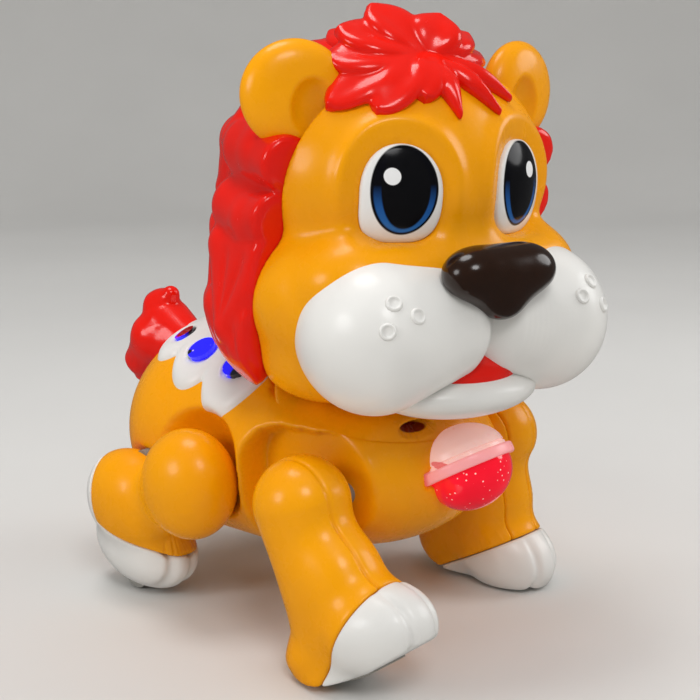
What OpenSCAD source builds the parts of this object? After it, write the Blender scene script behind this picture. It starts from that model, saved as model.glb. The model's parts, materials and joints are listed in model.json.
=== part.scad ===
// Musical crawling lion: a big-headed plastic lion that crawls on four swinging legs.
// The lion faces -Y, its right side is -X and it stands on z = 0. All sizes are in millimetres.
// Inside the modules y is measured from the neck axis. torso() and head() then move each piece
// so that the origin lies on the floor under the middle of the toy.

/* [Stance] */
// Distance from the neck axis back to the middle of the toy
mid_y = 39.2; // [34:0.1:46]
// Turn of the head towards its right at rest, in degrees
head_turn = 16; // [0:1:20]
// Swing of the front legs at rest, the right one forwards, in degrees
front_swing = 18; // [10:1:19]

/* [Head] */
// Height of the eye line above the floor
eye_line = 168; // [164:1:176]
// Half width of the skull
skull_rx = 57; // [54:1:60]
// Half depth of the skull
skull_ry = 46; // [43:1:49]
// Half height of the skull
skull_rz = 47; // [44:1:50]
// Half width of the jowls
jowl_rx = 63; // [60:1:66]
// Half depth of the jowls
jowl_ry = 44; // [42:1:47]
// Half height of the jowls
jowl_rz = 40; // [38:1:42]
// Drop of the jowls below the eye line
jowl_drop = 38; // [36:1:40]
// Wall of the moulded shells
wall = 2.4; // [1.8:0.1:3]
// Gap left at the seams between fixed mouldings
seam_gap = 0.2; // [0.1:0.05:0.3]

/* [Face] */
// Distance between the eye centres
eye_gap = 50; // [46:1:54]
// Half width of an eye
eye_rx = 14; // [11:0.5:16]
// Half height of an eye
eye_rz = 16.5; // [13:0.5:18]
// Half width of one cheek of the muzzle
cheek_rx = 30.5; // [29.5:0.5:34]
// Half depth of one cheek
cheek_ry = 29.5; // [28.5:0.5:32]
// Half height of one cheek
cheek_rz = 27; // [25:1:29]
// Half width of the nose
nose_rx = 21; // [17:1:24]
// Half width of the lower jaw
jaw_rx = 32; // [26:1:36]
// Half width of an ear
ear_rx = 19; // [17:1:21]
// Half height of an ear
ear_rz = 18.5; // [16:0.5:21]

/* [Mane] */
// Half width of the mane under its tufts
mane_rx = 62; // [60:1:64]
// Half depth of the mane under its tufts
mane_ry = 56; // [54:1:60]
// Half height of the mane under its tufts
mane_rz = 60; // [57:1:62]
// Wall of the mane
mane_wall = 6; // [5:0.5:8]
// Rise of the mane's lower edge towards the back
mane_rise = 0.45; // [0.4:0.05:0.6]
// Height of the mane's edge over the face
mane_lap = 1.5; // [1:0.25:2.5]

/* [Body] */
// Half width of the body at the rump
rump_rx = 50; // [49:0.5:51]
// Height of the belly face above the floor
belly_z = 30; // [28:0.5:31]
// Height of the bearing face that carries the head
neck_z = 99; // [98:0.5:100.5]
// Radius of the neck post
post_r = 12; // [10:0.5:13]
// Half width of the body between the legs
waist_x = 37.5; // [37:0.1:38]
// Stand-off of the white back panel from the body
panel_t = 2.2; // [1.5:0.1:2.8]

/* [Lamp] */
// Radius of the rim of the chest lamp
lamp_r = 18.5; // [16:0.5:20]
// Thickness of the lamp rim
lamp_t = 4; // [3:0.5:5]

/* [Legs] */
// Height of the shoulder pivots
shoulder_z = 60; // [59:0.5:61]
// Height of the hip pivots
hip_z = 56; // [55:0.5:57]
// Distance from the middle of the body to the middle of a front leg
leg_x = 56.5; // [56:0.5:58]
// Radius of the leg shafts
shaft_r = 4; // [3:0.25:4.5]
// Radius of the rollers in the hind paws
roller_r = 7; // [6:0.5:8]
// Running clearance of a shaft in its bore
fit = 0.08; // [0.05:0.01:0.1]
// Clearance between pieces that move past each other
run_gap = 0.4; // [0.3:0.05:0.6]

/* [Drive] */
// Throw of the crank pins
throw_r = 9.4; // [9.3:0.1:9.8]
// Module of the gear teeth
tooth_m = 0.8; // [0.78:0.01:0.82]
// Radius of a battery cell
cell_r = 7.25; // [7:0.05:7.3]
// Length of a battery cell
cell_l = 50.5; // [48:0.5:51]

/* [Hidden] */
$fn = 40;
skin_fn = 26;

right = -1;
left = 1;
sides = [right, left];
fur = "#f5b014";
red = "#e0200c";
cream = "#f4f1ea";
steel = "silver";
nylon = "#dcd8cc";

// Head forms, measured from the neck axis
skull_c = [0, -2, eye_line + 2];
skull_r = [skull_rx, skull_ry, skull_rz];
jowl_c = [0, -11, eye_line - jowl_drop];
jowl_r = [jowl_rx, jowl_ry, jowl_rz];
mane_c = [0, 8, eye_line - 8];
mane_r = [mane_rx, mane_ry, mane_rz];
seam_y = -14;
seam_lean = 12;
base_t = 3;
base_drop = 64;
base_z = eye_line - base_drop;
hub_r = post_r + 5;
eye_cant = 22;
eye_depth = 6;
cheek_c = [29, -38, eye_line - 47];
snout_c = [29, -30, eye_line - 30];
snout_r = [cheek_rx - 3.5, 20, 18];
jaw_c = [0, -38, eye_line - 69];
jaw_r = [jaw_rx, 24, 10];
mouth_c = [0, -38, eye_line - 62];
mouth_r = [24, 20, 12];
ear_c = [48, -14, eye_line + 32];
ear_r = [ear_rx, 9, ear_rz];
ear_cant = 18;

// Body forms
chest_c = [0, 6, 62];
chest_r = [54, 40, 31];
belly_c = [0, 40, 62];
belly_r = [52, 46, 42];
rump_c = [0, 82, 62];
rump_r = [rump_rx, 46, 45];
collar_r = 46;
collar_z = 84;
collar_lean = 11;
plate_t = 2.4;

// Drive train
crank = [0, 18, 56];
crank_teeth = 44;
pinion_teeth = 12;
idler_teeth = 36;
wheel_tip = 0.7;
idler_dir = 50;
motor_dir = 0;
train_x = -6;
crank_mesh = tooth_m * (crank_teeth + pinion_teeth) / 2;
motor_mesh = tooth_m * (idler_teeth + pinion_teeth) / 2;
idler = crank + crank_mesh * [0, cos(idler_dir), sin(idler_dir)];
motor_at = idler + motor_mesh * [0, cos(motor_dir), sin(motor_dir)];
crank_r = 2.5;
disc_r = throw_r + 3.8;
disc_x = 20.5;
disc_t = 3;
lever_t = 2.5;
lever_gap = 0.6;
lever_room = 0.75;

// Legs
shoulder = [0, -10, shoulder_z];
hip = [0, 86, hip_z];
leg_seam = leg_x - 9.5;
reach = 100;
crank_arm = norm([shoulder.y - crank.y, shoulder.z - crank.z]);
hind_arm = norm([hip.y - crank.y, hip.z - crank.z]);
hind_swing = front_swing * asin(throw_r / hind_arm) / asin(throw_r / crank_arm);
sole_gap = 0.6;
sole_arc = 20;
pad_t = 2.4;

// Battery box
cell_pitch = 2 * cell_r + 0.7;
box_y = 40;
box_len = 3 * cell_pitch + 0.4;
cell_room = 2.2;
box_x = cell_l / 2 + cell_room;
box_wall = 1.4;
hind_lever_x = box_x + box_wall + lever_room;
front_lever_x = hind_lever_x - lever_t - lever_gap;
flank_x = max(waist_x, hind_lever_x + lever_t + lever_gap + wall);
cavity_x = flank_x - wall;
leg_in = flank_x + 1.5;
door_t = 2.8;
switch_at = [-8, 19, belly_z];
switch_travel = 2;
cell_z = belly_z + door_t + 0.2 + cell_r;
box_top = cell_z + cell_r + 0.4;

// Front paw parting line in the side view, measured from the shoulder
paw_low = [1, -60];
paw_high = [-25, -32];

// Lobes of the back panel: place across, place along, radius
lobes = [[32, 50, 15.5], [30, 73, 13], [24, 92, 11]];
// Windows of the back panel: place on the body, lean outwards, lean backwards, radius
windows = [[[32, 50, 95.5], 33, 0, 6.5], [[30, 73, 98.1], 33, 4, 6], [[23, 91, 100.6], 26, 18, 4.5]];

// Tufts of the mane on one side, as balls at the corners of a leaf: angle from the back, height over
// the mane's middle, thickness
tufts = [[[117, 22, 9], [80, 23, 10]], [[117, 5, 9], [75, 9, 10]],
    [[112, -11, 8], [84, -8, 10], [92, -37, 5]], [[73, -5, 9], [60, -8, 9], [67, -38, 6]],
    [[101, -38, 7], [82, -38, 9], [98, -68, 5]], [[75, -35, 10], [60, -36, 10], [80, -63, 5]],
    [[66, 26, 8], [40, 29, 9], [50, 4, 5]], [[30, 31, 8], [6, 32, 9], [16, 7, 5]],
    [[52, -1, 9], [34, 1, 9], [42, -26, 5]], [[24, 2, 9], [0, 2, 9], [8, -24, 5]],
    [[50, -29, 9], [32, -27, 9], [38, -54, 5]], [[22, -27, 9], [0, -28, 9], [8, -54, 5]]];

// Petals of the forelock: tip place with its height over the eye line, and width
petals = [[[0, -40, 23], 6], [[16, -37, 24], 5], [[24, -31, 28], 5], [[5, -16, 58], 8],
    [[27, -12, 46], 8], [[-16, -8, 60], 8], [[-32, -12, 51], 9], [[-38, -18, 41], 9],
    [[-40, -24, 28], 8], [[-22, -36, 28], 8], [[0, 12, 58], 9], [[22, 10, 51], 9],
    [[-22, 10, 52], 9]];
petal_root = [0, -17, eye_line + 42];

// Helpers
module torso() translate([0, -mid_y, 0]) children();
module head() translate([0, -mid_y, 0]) rotate([0, 0, -head_turn]) children();
module ball(c, r) translate(c) scale(r) sphere(1);
// The same with its poles to the sides
module side_ball(c, r) translate(c) scale(r) rotate([0, 90, 0]) sphere(1);
// A ball on one side of the body with its poles to front and back
module leg_ball(s, c, r) translate([s * c.x, c.y, c.z]) scale(r) rotate([90, 0, 0]) sphere(1);
function grown(r, g) = [r.x + g, r.y + g, r.z + g];
// Joins blended forms into one moulded skin
module one_skin() resize([0, 0, 0]) children();
// Round bar along X between two x values
module x_rod(r, x0, x1) translate([x0, 0, 0]) rotate([0, 90, 0]) cylinder(r = r, h = x1 - x0);
// Side-view outline drawn as (y, z) and drawn out along X
module side_plate(x0, x1) translate([x0, 0, 0]) rotate([90, 0, 90]) linear_extrude(x1 - x0) children();
module slab_x(x0, x1) translate([x0, -150, -150]) cube([x1 - x0, 400, 500]);
// Slab and round bar between two distances from the middle, on one side
module side_slab(s, d0, d1) slab_x(s < 0 ? -d1 : d0, s < 0 ? -d0 : d1);
module side_rod(s, r, d0, d1) x_rod(r, s < 0 ? -d1 : d0, s < 0 ? -d0 : d1);
module on_side(s) mirror([s < 0 ? 1 : 0, 0, 0]) children();

// Head
module skull(g) ball(skull_c, grown(skull_r, g));
module jowl(g) ball(jowl_c, grown(jowl_r, g));
module snout(g) for (s = sides) ball([s * snout_c.x, snout_c.y, snout_c.z], grown(snout_r, g));
module face_form(g) { skull(g); jowl(g); snout(g); }
module behind_seam(gap) translate([0, seam_y, eye_line]) rotate([seam_lean, 0, 0])
    translate([-150, gap, -200]) cube([300, 300, 400]);
module before_seam(gap) translate([0, seam_y, eye_line]) rotate([seam_lean, 0, 0])
    translate([-150, -300 + gap, -200]) cube([300, 300, 400]);
module head_cavity(g) {
    skull(-wall - g, $fn = 24);
    jowl(-wall - g, $fn = 24);
    ball(mane_c, grown(mane_r, -mane_wall - g), $fn = 20);
}
module eye_plug(s, g) translate([s * eye_gap / 2, -40, eye_line]) rotate([0, 0, s * eye_cant])
    rotate([90, 0, 0]) scale([eye_rx + g, eye_rz + g, 1]) cylinder(r = 1, h = 40, center = true);
module neck_hole() translate([0, 0, 60]) cylinder(r = hub_r + run_gap + 3, h = base_z + base_t - 60);

module face_shell() color(fur) head() one_skin($fn = skin_fn) difference() {
    face_form(0);
    head_cavity(0);
    behind_seam(0);
    neck_hole();
    for (s = sides) eye_plug(s, seam_gap);
}
// A place under the skin of the mane: angle from the back, height. It widens over the jowls.
function on_mane(a, z) = let (
        k = sqrt(max(1 - pow((z - mane_c.z) / mane_rz, 2), z < mane_c.z ? 0.97 : 0)),
        wide = 6 * min(1, max(0, (mane_c.z - 4 - z) / 20)))
    [(mane_rx - 7 + wide) * k * sin(a), mane_c.y + (mane_ry - 7) * k * cos(a), z];
module tuft(s, ends) hull() for (e = ends) ball(on_mane(s * e[0], mane_c.z + e[1]), [e[2], e[2], e[2]], $fn = 10);
module mane_form() {
    ball(mane_c, mane_r);
    jowl(mane_lap);
    for (s = sides, ends = tufts) tuft(s, ends);
}
module mane_shell() color(red) head() one_skin($fn = skin_fn) difference() {
    mane_form();
    head_cavity(0);
    before_seam(seam_gap);
    neck_hole();
    cylinder(r = collar_r + 2, h = neck_z + 2);
    multmatrix([[1, 0, 0, 0], [0, 1, 0, 0], [0, mane_rise, 1, 0], [0, 0, 0, 1]])
        translate([-150, -150, 0]) cube([300, 400, neck_z - 8]);
    for (s = sides) ear_form(s, seam_gap);
}
module ear_place(s) translate([s * (ear_c.x - 12), ear_c.y, ear_c.z]) rotate([0, 0, s * ear_cant])
    translate([s * 12, 0, 0]) children();
module ear_form(s, g) ear_place(s) scale(grown(ear_r, g)) sphere(1);
module ear(s) color(fur) head() difference() {
    ear_form(s, 0);
    skull(seam_gap);
    ear_place(s) ball([-s * 4, -8.5, -4], [8.5, 6, 11]);
}
module forelock() color(red) head() one_skin($fn = skin_fn) difference() {
    for (p = petals) hull() {
        tip = p[0] + [0, 0, eye_line];
        ball(petal_root, [9, 9, 8], $fn = 8);
        ball(petal_root * 0.35 + tip * 0.65, [p[1], p[1], p[1] * 0.7], $fn = 8);
        ball(tip, [2.5, 2.5, 2], $fn = 8);
    }
    skull(seam_gap);
    for (s = sides) ear_form(s, seam_gap);
    ball(mane_c, grown(mane_r, seam_gap));
}
module eye(s) color("white") head() one_skin($fn = skin_fn) intersection() {
    eye_plug(s, 0);
    difference() {
        skull(-0.6);
        skull(-eye_depth);
    }
}
// A cheek is fuller towards the middle, where the two meet in a cleft
module cheeks(g) for (s = sides) hull() {
    ball([s * cheek_c.x * 0.35, cheek_c.y, cheek_c.z + 3], grown([cheek_rx * 0.48, cheek_ry - 2, cheek_rz - 5], g));
    ball([s * (cheek_c.x + cheek_rx - 24.5), cheek_c.y, cheek_c.z], grown([24.5, cheek_ry, cheek_rz], g));
}
module muzzle() color(cream) head() one_skin($fn = skin_fn) difference() {
    cheeks(0);
    face_form(seam_gap);
}
module nose_form(g) hull() {
    for (s = sides) ball([s * (nose_rx - 9), -62, eye_line - 25], grown([9, 9, 7.5], g), $fn = 16);
    ball([0, -63, eye_line - 34], grown([8, 8, 7], g), $fn = 16);
}
module nose() color("#3a1a10") head() one_skin($fn = skin_fn) difference() {
    nose_form(0);
    face_form(seam_gap);
    cheeks(seam_gap);
}
module jaw_form(g) ball(jaw_c, grown(jaw_r, g));
module lower_jaw() color(cream) head() one_skin($fn = skin_fn) difference() {
    jaw_form(0);
    face_form(seam_gap);
    cheeks(seam_gap);
}
module mouth_lining() color(red) head() one_skin($fn = skin_fn) difference() {
    ball(mouth_c, mouth_r);
    face_form(seam_gap);
    cheeks(seam_gap);
    jaw_form(seam_gap);
}
module head_base() color(nylon) head() difference() {
    union() {
        one_skin() intersection() {
            translate([0, 0, base_z]) cylinder(r = 60, h = base_t);
            head_cavity(seam_gap);
        }
        translate([0, 0, neck_z + 0.1]) cylinder(r = hub_r, h = base_z - neck_z + base_t / 2);
    }
    translate([0, 0, neck_z - 1]) cylinder(r = post_r + fit, h = base_z + base_t + 2 - neck_z);
}

// Neck
module above_collar(gap) translate([0, 0, collar_z]) rotate([collar_lean, 0, 0])
    translate([0, 0, gap]) cylinder(r = collar_r - gap, h = 60);
module neck_collar() color(fur) torso() union() {
    one_skin() difference() {
        intersection() {
            torso_form(0);
            above_collar(seam_gap);
        }
        lamp_room();
    }
    translate([0, 0, collar_z + 4]) cylinder(r = hub_r, h = neck_z - collar_z - 4);
    translate([0, 0, collar_z + 4]) cylinder(r = post_r, h = base_z + base_t + 5 - collar_z - 4);
}
module neck_clip() color(steel) torso() translate([0, 0, base_z + base_t + run_gap]) difference() {
    cylinder(r = post_r + 5, h = 2.5);
    translate([0, 0, -1]) cylinder(r = post_r + fit, h = 5);
}

// Body
module torso_form(g) hull() {
    ball(chest_c, grown(chest_r, g), $fn = skin_fn);
    ball(belly_c, grown(belly_r, g), $fn = skin_fn);
    ball(rump_c, grown(rump_r, g), $fn = skin_fn);
}
module cavity(g) intersection() {
    torso_form(-wall - g);
    slab_x(-cavity_x + g, cavity_x - g);
}
module front_pocket(s) on_side(s) side_plate(flank_x, reach) union() {
    translate([16, 66]) circle(r = 15);
    translate([-80, 0]) square([111, 66]);
    translate([-80, 40]) square([96, 41]);
}
module hind_pocket(s) intersection() {
    for (a = [-1, 1]) swing(hip, a * (hind_swing + 0.6)) hind_form(s, 1.2, $fn = 18);
    side_slab(s, flank_x, reach);
}
module lamp_frame() translate([0, -35, 67]) rotate([-31, 0, 0]) children();
module lamp_room() lamp_frame() {
    translate([0, 0, -lamp_t / 2 - run_gap]) cylinder(r = lamp_r + run_gap, h = lamp_t + 2 * run_gap);
    scale([lamp_r - 1, lamp_r - 1, 17]) sphere(1);
}
module screw_places() for (s = sides, p = [[18.5, 21.6], [21, 98]]) translate([s * p.x, p.y, 0]) children();
module body_shell() color(fur) torso() difference() {
    one_skin() difference() {
        torso_form(0);
        difference() {
            cavity(0);
            for (s = sides) on_side(s) screw_blocks();
        }
        translate([-100, -100, -1]) cube([200, 300, belly_z + 1]);
        above_collar(0);
        for (s = sides) {
            front_pocket(s);
            hind_pocket(s);
        }
        lamp_room();
    }
    translate(shoulder) x_rod(shaft_r + fit, -reach, reach);
    translate(hip) x_rod(shaft_r + fit, -reach, reach);
    window_places() translate([0, 0, -12]) cylinder(r = 3, h = 20);
    screw_places() translate([0, 0, belly_z]) cylinder(r = 1.3 + fit, h = 7);
}
module screw_blocks() for (p = [[18.5, 21.6], [21, 98]])
    translate([p.x - 3, p.y - 4, belly_z + plate_t + seam_gap]) cube([22, 8, 4.5]);
module belly_plate() color(fur) torso() difference() {
    union() {
        one_skin() intersection() {
            cavity(seam_gap);
            translate([-100, -100, belly_z]) cube([200, 300, plate_t]);
        }
        translate([-box_x - box_wall, box_y - box_wall, belly_z])
            cube([2 * (box_x + box_wall), box_len + 2 * box_wall, box_top + box_wall - belly_z]);
    }
    translate([-box_x, box_y, belly_z - 1]) cube([2 * box_x, box_len, box_top - belly_z + 1]);
    screw_places() translate([0, 0, belly_z - 1]) cylinder(r = 1.3 + fit, h = 10);
    screw_places() translate([0, 0, belly_z - 1]) cylinder(r = 3 + fit, h = 2.4);
    translate(switch_at + [-2.3, -2.8 - switch_travel, -1]) cube([4.6, 5.6 + 2 * switch_travel, 5]);
    translate([0, 100, belly_z - 1]) for (ring = [1, 2], k = [0:6 * ring - 1])
        rotate([0, 0, k * 60 / ring]) translate([3.8 * ring, 0, 0]) cylinder(r = 1.1, h = 5, $fn = 16);
}
module belly_screws() color(steel) torso() screw_places() {
    translate([0, 0, belly_z + 0.2]) cylinder(r = 3, h = 1.2);
    translate([0, 0, belly_z + 0.2]) cylinder(r = 1.3, h = 6.4);
}
module battery_door() color(fur) torso() translate([0, 0, belly_z]) difference() {
    translate([-box_x + seam_gap, box_y + seam_gap, 0])
        cube([2 * (box_x - seam_gap), box_len - 2 * seam_gap, door_t]);
    for (k = [0:4]) translate([-8, box_y + 8 + 3 * k, -1]) cube([16, 1.4, 1.6]);
}
module cells() for (k = [0:2]) translate([0, box_y + 0.2 + cell_pitch * (k + 0.5), cell_z]) children();
module batteries() color("#3f5f4a") torso() cells() {
    x_rod(cell_r, -cell_l / 2, cell_l / 2 - 1.5);
    x_rod(2.8, cell_l / 2 - 2, cell_l / 2);
}
module battery_contacts() color(steel) torso() cells() for (s = sides)
    on_side(s) x_rod(4.5, cell_l / 2 + 0.1, box_x - 0.1);
module speaker() color("#2a2a2c") torso() translate([0, 100, belly_z + plate_t + 0.1]) rotate_extrude()
    polygon([[0, 1.5], [8, 1.5], [10.5, 0], [12, 0], [12, 1.6], [7.5, 6], [7.5, 9], [0, 9]]);
module circuit_board() color("#1f6a3c") torso() translate([0, box_y + box_len / 2, box_top + box_wall]) {
    translate([-24, -20, 0]) cube([48, 40, 1.6]);
    translate([-6, -8, 1.6]) cube([12, 16, 2]);
    translate([12, 8, 1.6]) cylinder(r = 4, h = 8);
}
module power_switch() color("#2a2a2c") torso() translate(switch_at) {
    translate([-2, -2.5, -1.2]) cube([4, 5, plate_t + 1.8]);
    translate([-4, -6.5, plate_t + run_gap]) cube([8, 13, 1.6]);
}

// Back panel and its lights
module panel_outline() {
    for (s = sides, l = lobes) translate([s * l[0], l[1]]) circle(r = l[2]);
    translate([-26, 46]) square([52, 54]);
    translate([0, 95]) circle(r = 16);
}
module window_place(s, w) translate([s * w[0].x, w[0].y, w[0].z]) rotate([-w[2], s * w[1], 0]) children();
module window_places() for (s = sides, w = windows) window_place(s, w) children();
module back_panel() color(cream) torso() difference() {
    one_skin() difference() {
        intersection() {
            torso_form(panel_t);
            translate([0, 0, 60]) linear_extrude(80) panel_outline();
        }
        torso_form(seam_gap);
        above_collar(0);
        tail_form(seam_gap);
        for (s = sides) hind_pocket(s);
    }
    for (s = sides, w = windows) window_place(s, w)
        translate([0, 0, -12]) cylinder(r = w[3] + seam_gap, h = 24);
}
module window_lenses() color([0.1, 0.15, 0.95, 0.7]) torso() for (s = sides, w = windows)
    window_place(s, w) translate([0, 0, 0.5]) cylinder(r = w[3], h = panel_t);
module back_leds() color("white") torso() window_places() translate([0, 0, -6]) cylinder(r = 2.5, h = 5);
module tail_form(g) hull_pairs([[[0, 118, 90], 11], [[0, 138, 92], 12], [[0, 134, 106], 7]], g);
module hull_pairs(p, g) for (i = [0:len(p) - 2]) hull() {
    ball(p[i][0], [p[i][1] + g, p[i][1] + g, p[i][1] + g], $fn = 16);
    ball(p[i + 1][0], [p[i + 1][1] + g, p[i + 1][1] + g, p[i + 1][1] + g], $fn = 16);
}
module tail() color(red) torso() one_skin() difference() {
    union() {
        tail_form(0);
        hull_pairs([[[0, 136, 92], 11], [[0, 146, 80], 8], [[0, 149, 72], 3]], 0);
    }
    torso_form(seam_gap);
}

// Chest lamp
function dome(r, h, n) = [for (k = [0:n]) [r * cos(90 * k / n), h * sin(90 * k / n)]];
module lamp_ring() color("#f3c3c0") torso() lamp_frame()
    translate([0, 0, -lamp_t / 2]) difference() {
        cylinder(r = lamp_r, h = lamp_t);
        translate([0, 0, -1]) cylinder(r = 9, h = lamp_t + 2);
    }
module lamp_cap() color(cream) torso() lamp_frame() translate([0, 0, lamp_t / 2])
    rotate_extrude() polygon(concat([[0, 0]], dome(lamp_r - 2, 13, 10)));
module lamp_lens() color([0.85, 0.02, 0.05, 0.8]) torso() lamp_frame() translate([0, 0, -lamp_t / 2])
    mirror([0, 0, 1]) rotate_extrude()
        difference() {
            polygon(concat([[0, 0]], dome(lamp_r - 2.2, 14.5, 10)));
            polygon(concat([[0, -1], [0, 0]], dome(lamp_r - 4.4, 12.3, 10)));
        }
module lamp_led() color("white") torso() lamp_frame() {
    translate([0, 0, -lamp_t / 2 - 4]) cylinder(r = 2.5, h = lamp_t + 4);
    translate([0, 0, lamp_t / 2 - 2]) cylinder(r = 9 - fit, h = 2);
}

// Legs
module swing(pivot, a) translate(pivot) rotate([a, 0, 0]) translate(-pivot) children();
module front_pose(s) torso() swing(shoulder, s * front_swing) children();
module hind_pose(s) torso() swing(hip, -s * hind_swing) children();
function leg_r(z) = 14 + 3.5 * pow(max(0, (z + 36) / 37), 1.5) + 2 * pow(max(0, (-36 - z) / 26), 1.5);
module front_form(s) {
    translate([s * leg_x, shoulder.y + 3.5, shoulder.z]) rotate_extrude() polygon(concat(
        [[0, -63]], [for (z = [-63:8:1]) [leg_r(z), z]],
        [for (a = [10:10:90]) [17.5 * cos(a), 1 + 17.5 * sin(a)]]));
    side_ball(shoulder + [s * leg_x, -17, -43.5], [18, 24.5, 16.5]);
}
module front_rocker(g) translate(shoulder) {
    x_rod(shoulder_z - g, -reach, reach, $fn = 96);
    for (m = [0, 1]) mirror([0, m, 0]) side_plate(-reach, reach) polygon([[0, 0],
        (shoulder_z - g) * [sin(sole_arc), -cos(sole_arc)],
        (shoulder_z - g) * [sin(sole_arc), -cos(sole_arc)] + 40 * [cos(sole_arc), sin(sole_arc)], [90, 90], [0, 90]]);
}
module paw_side(gap) translate([0, shoulder.y, shoulder.z]) side_plate(-reach, reach)
    polygon([paw_low + [gap, 0], paw_high + [gap, 0], paw_high + [-60, 20], [-100, -100], [40, -100]]);
module pad_room(s, g) translate(shoulder) intersection() {
    difference() {
        side_rod(s, shoulder_z + 5, leg_x - 8 - g, leg_x + 8 + g, $fn = 96);
        x_rod(shoulder_z - pad_t - g, -reach, reach, $fn = 96);
    }
    side_plate(-reach, reach) polygon([[0, 0], 90 * [sin(sole_arc), -cos(sole_arc)] + [g, 0], 90 * [-sin(sole_arc), -cos(sole_arc)] - [g, 0]]);
}
module front_leg_skin(s) difference() {
    intersection() {
        front_form(s);
        front_rocker(sole_gap);
        side_slab(s, leg_in, reach);
    }
    pad_room(s, seam_gap);
}
module front_leg_outer(s) color(fur) front_pose(s) difference() {
    front_leg_skin(s);
    paw_side(0);
    side_slab(s, 0, leg_seam);
    translate(shoulder) side_rod(s, shaft_r + fit, 0, leg_seam + 6);
}
module front_leg_inner(s) color(fur) front_pose(s) difference() {
    front_leg_skin(s);
    paw_side(0);
    side_slab(s, leg_seam - seam_gap, reach);
    translate(shoulder) side_rod(s, shaft_r + fit, 0, reach);
}
module front_paw(s) color(cream) front_pose(s) intersection() {
    front_leg_skin(s);
    paw_side(-seam_gap);
}
module front_pad(s) color("#b8b4aa") front_pose(s) intersection() {
    pad_room(s, 0);
    front_rocker(0);
}
module lever_slot(pivot) for (d = [-throw_r, throw_r]) translate([crank.y, crank.z])
    rotate(atan2(crank.z - pivot.z, crank.y - pivot.y)) translate([d, 0]) children();
module lever(s, pivot, x0) on_side(s) {
    side_plate(x0, x0 + lever_t) difference() {
            hull() {
                translate([pivot.y, pivot.z]) circle(r = shaft_r + 3);
                lever_slot(pivot) circle(r = 5);
            }
            hull() lever_slot(pivot) circle(r = 2.3);
        }
    translate(pivot) x_rod(shaft_r, x0, leg_seam + 5.8);
}
module shoulder_lever(s) color(nylon) front_pose(s) lever(s, shoulder, front_lever_x);
module hip_lever(s) color(nylon) hind_pose(s) lever(s, hip, hind_lever_x);

module hind_form(s, g) {
    leg_ball(s, [leg_x - 0.5, 54, 58], grown([16.5, 20.5, 21.5], g));
    leg_ball(s, [leg_x - 2.5, 88, 38.5], grown([15, 24, 20.5], g));
    leg_ball(s, [leg_x - 8.5, 86, 19], grown([15, 27, 17.5], g));
}
module hind_shoe(gap) side_plate(-reach, reach)
    polygon([[20, 24 - gap], [62, 18 - gap], [96, 26 - gap], [106 + gap, 60], [160, 60], [160, -20], [20, -20]]);
module roller_place() translate([leg_x - 8.5, hip.y, roller_r]) children();
module hind_skin(s) intersection() {
    hind_form(s, 0);
    translate(hip) x_rod(hip_z - sole_gap, -reach, reach, $fn = 96);
    side_slab(s, leg_in, reach);
}
module hind_leg(s) color(fur) hind_pose(s) difference() {
    hind_skin(s);
    hind_shoe(0);
    translate(hip) side_rod(s, shaft_r + fit, 0, leg_seam + 6);
}
module hind_paw(s) color(cream) hind_pose(s) difference() {
    difference() {
        intersection() {
            hind_skin(s);
            hind_shoe(seam_gap);
        }
        on_side(s) roller_place() translate([-5 - run_gap, -roller_r - run_gap, -20])
            cube([10 + 2 * run_gap, 2 * (roller_r + run_gap), 20 + roller_r + run_gap]);
    }
    on_side(s) roller_place() x_rod(1.5 + fit, -8, 8);
}
module hind_roller(s) color("#2a2a2c") hind_pose(s) on_side(s) roller_place() union() {
    x_rod(roller_r, -5, 5);
    x_rod(1.5, -7.5, 7.5);
}

// Gears
function involute(rb, t) = rb * [cos(t) + t * PI / 180 * sin(t), sin(t) - t * PI / 180 * cos(t)];
function turned(p, a) = [p.x * cos(a) - p.y * sin(a), p.x * sin(a) + p.y * cos(a)];
function inv_angle(rb, r) = r <= rb ? 0 : let (t = sqrt(pow(r / rb, 2) - 1)) t * 180 / PI - atan(t);
function roll_at(rb, r) = r <= rb ? 0 : sqrt(pow(r / rb, 2) - 1) * 180 / PI;
module gear_outline(teeth, tip) {
    rp = tooth_m * teeth / 2;
    rb = rp * cos(20);
    ra = rp + tip * tooth_m;
    rf = rp - 1.25 * tooth_m;
    half = 90 / teeth - 0.16 / rp * 180 / PI + inv_angle(rb, rp);
    flank = [for (k = [0:4]) turned(involute(rb, k / 4 * roll_at(rb, ra)), -half)];
    foot = turned([min(rf, rb), 0], -half);
    tooth = concat([foot], flank);
    polygon([for (k = [0:teeth - 1]) each concat(
        [for (p = tooth) turned(p, k * 360 / teeth)],
        [for (j = [len(tooth) - 1:-1:0]) turned([tooth[j].x, -tooth[j].y], k * 360 / teeth)])]);
}
module gear(teeth, tip, bore, x0, x1, phase) difference() {
    side_plate(x0, x1) rotate(phase) gear_outline(teeth, tip);
    x_rod(bore, x0 - 1, x1 + 1);
}
function gap_phase(teeth, dir) = dir + 180 - 180 / teeth;
idler_big_phase = motor_dir;
module crank_gear() color(nylon) torso() translate(crank + [train_x, 0, 0])
    gear(crank_teeth, wheel_tip, crank_r + 0.02, -9, -5, idler_dir);
module idler_gear() color(nylon) torso() translate(idler + [train_x, 0, 0]) {
    gear(pinion_teeth, 1, 1.5 + fit, -9.6, -3, gap_phase(pinion_teeth, idler_dir));
    difference() {
        x_rod(5, -3, 2);
        x_rod(1.5 + fit, -4, 3);
    }
    gear(idler_teeth, wheel_tip, 1.5 + fit, 2, 6, motor_dir);
}
module motor_pinion() color("#c9a24a") torso() translate(motor_at + [train_x, 0, 0]) {
    gear(pinion_teeth, 1, 1, 1.4, 6.4, gap_phase(pinion_teeth, motor_dir));
    x_rod(1, 1.4, 14);
}
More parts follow.
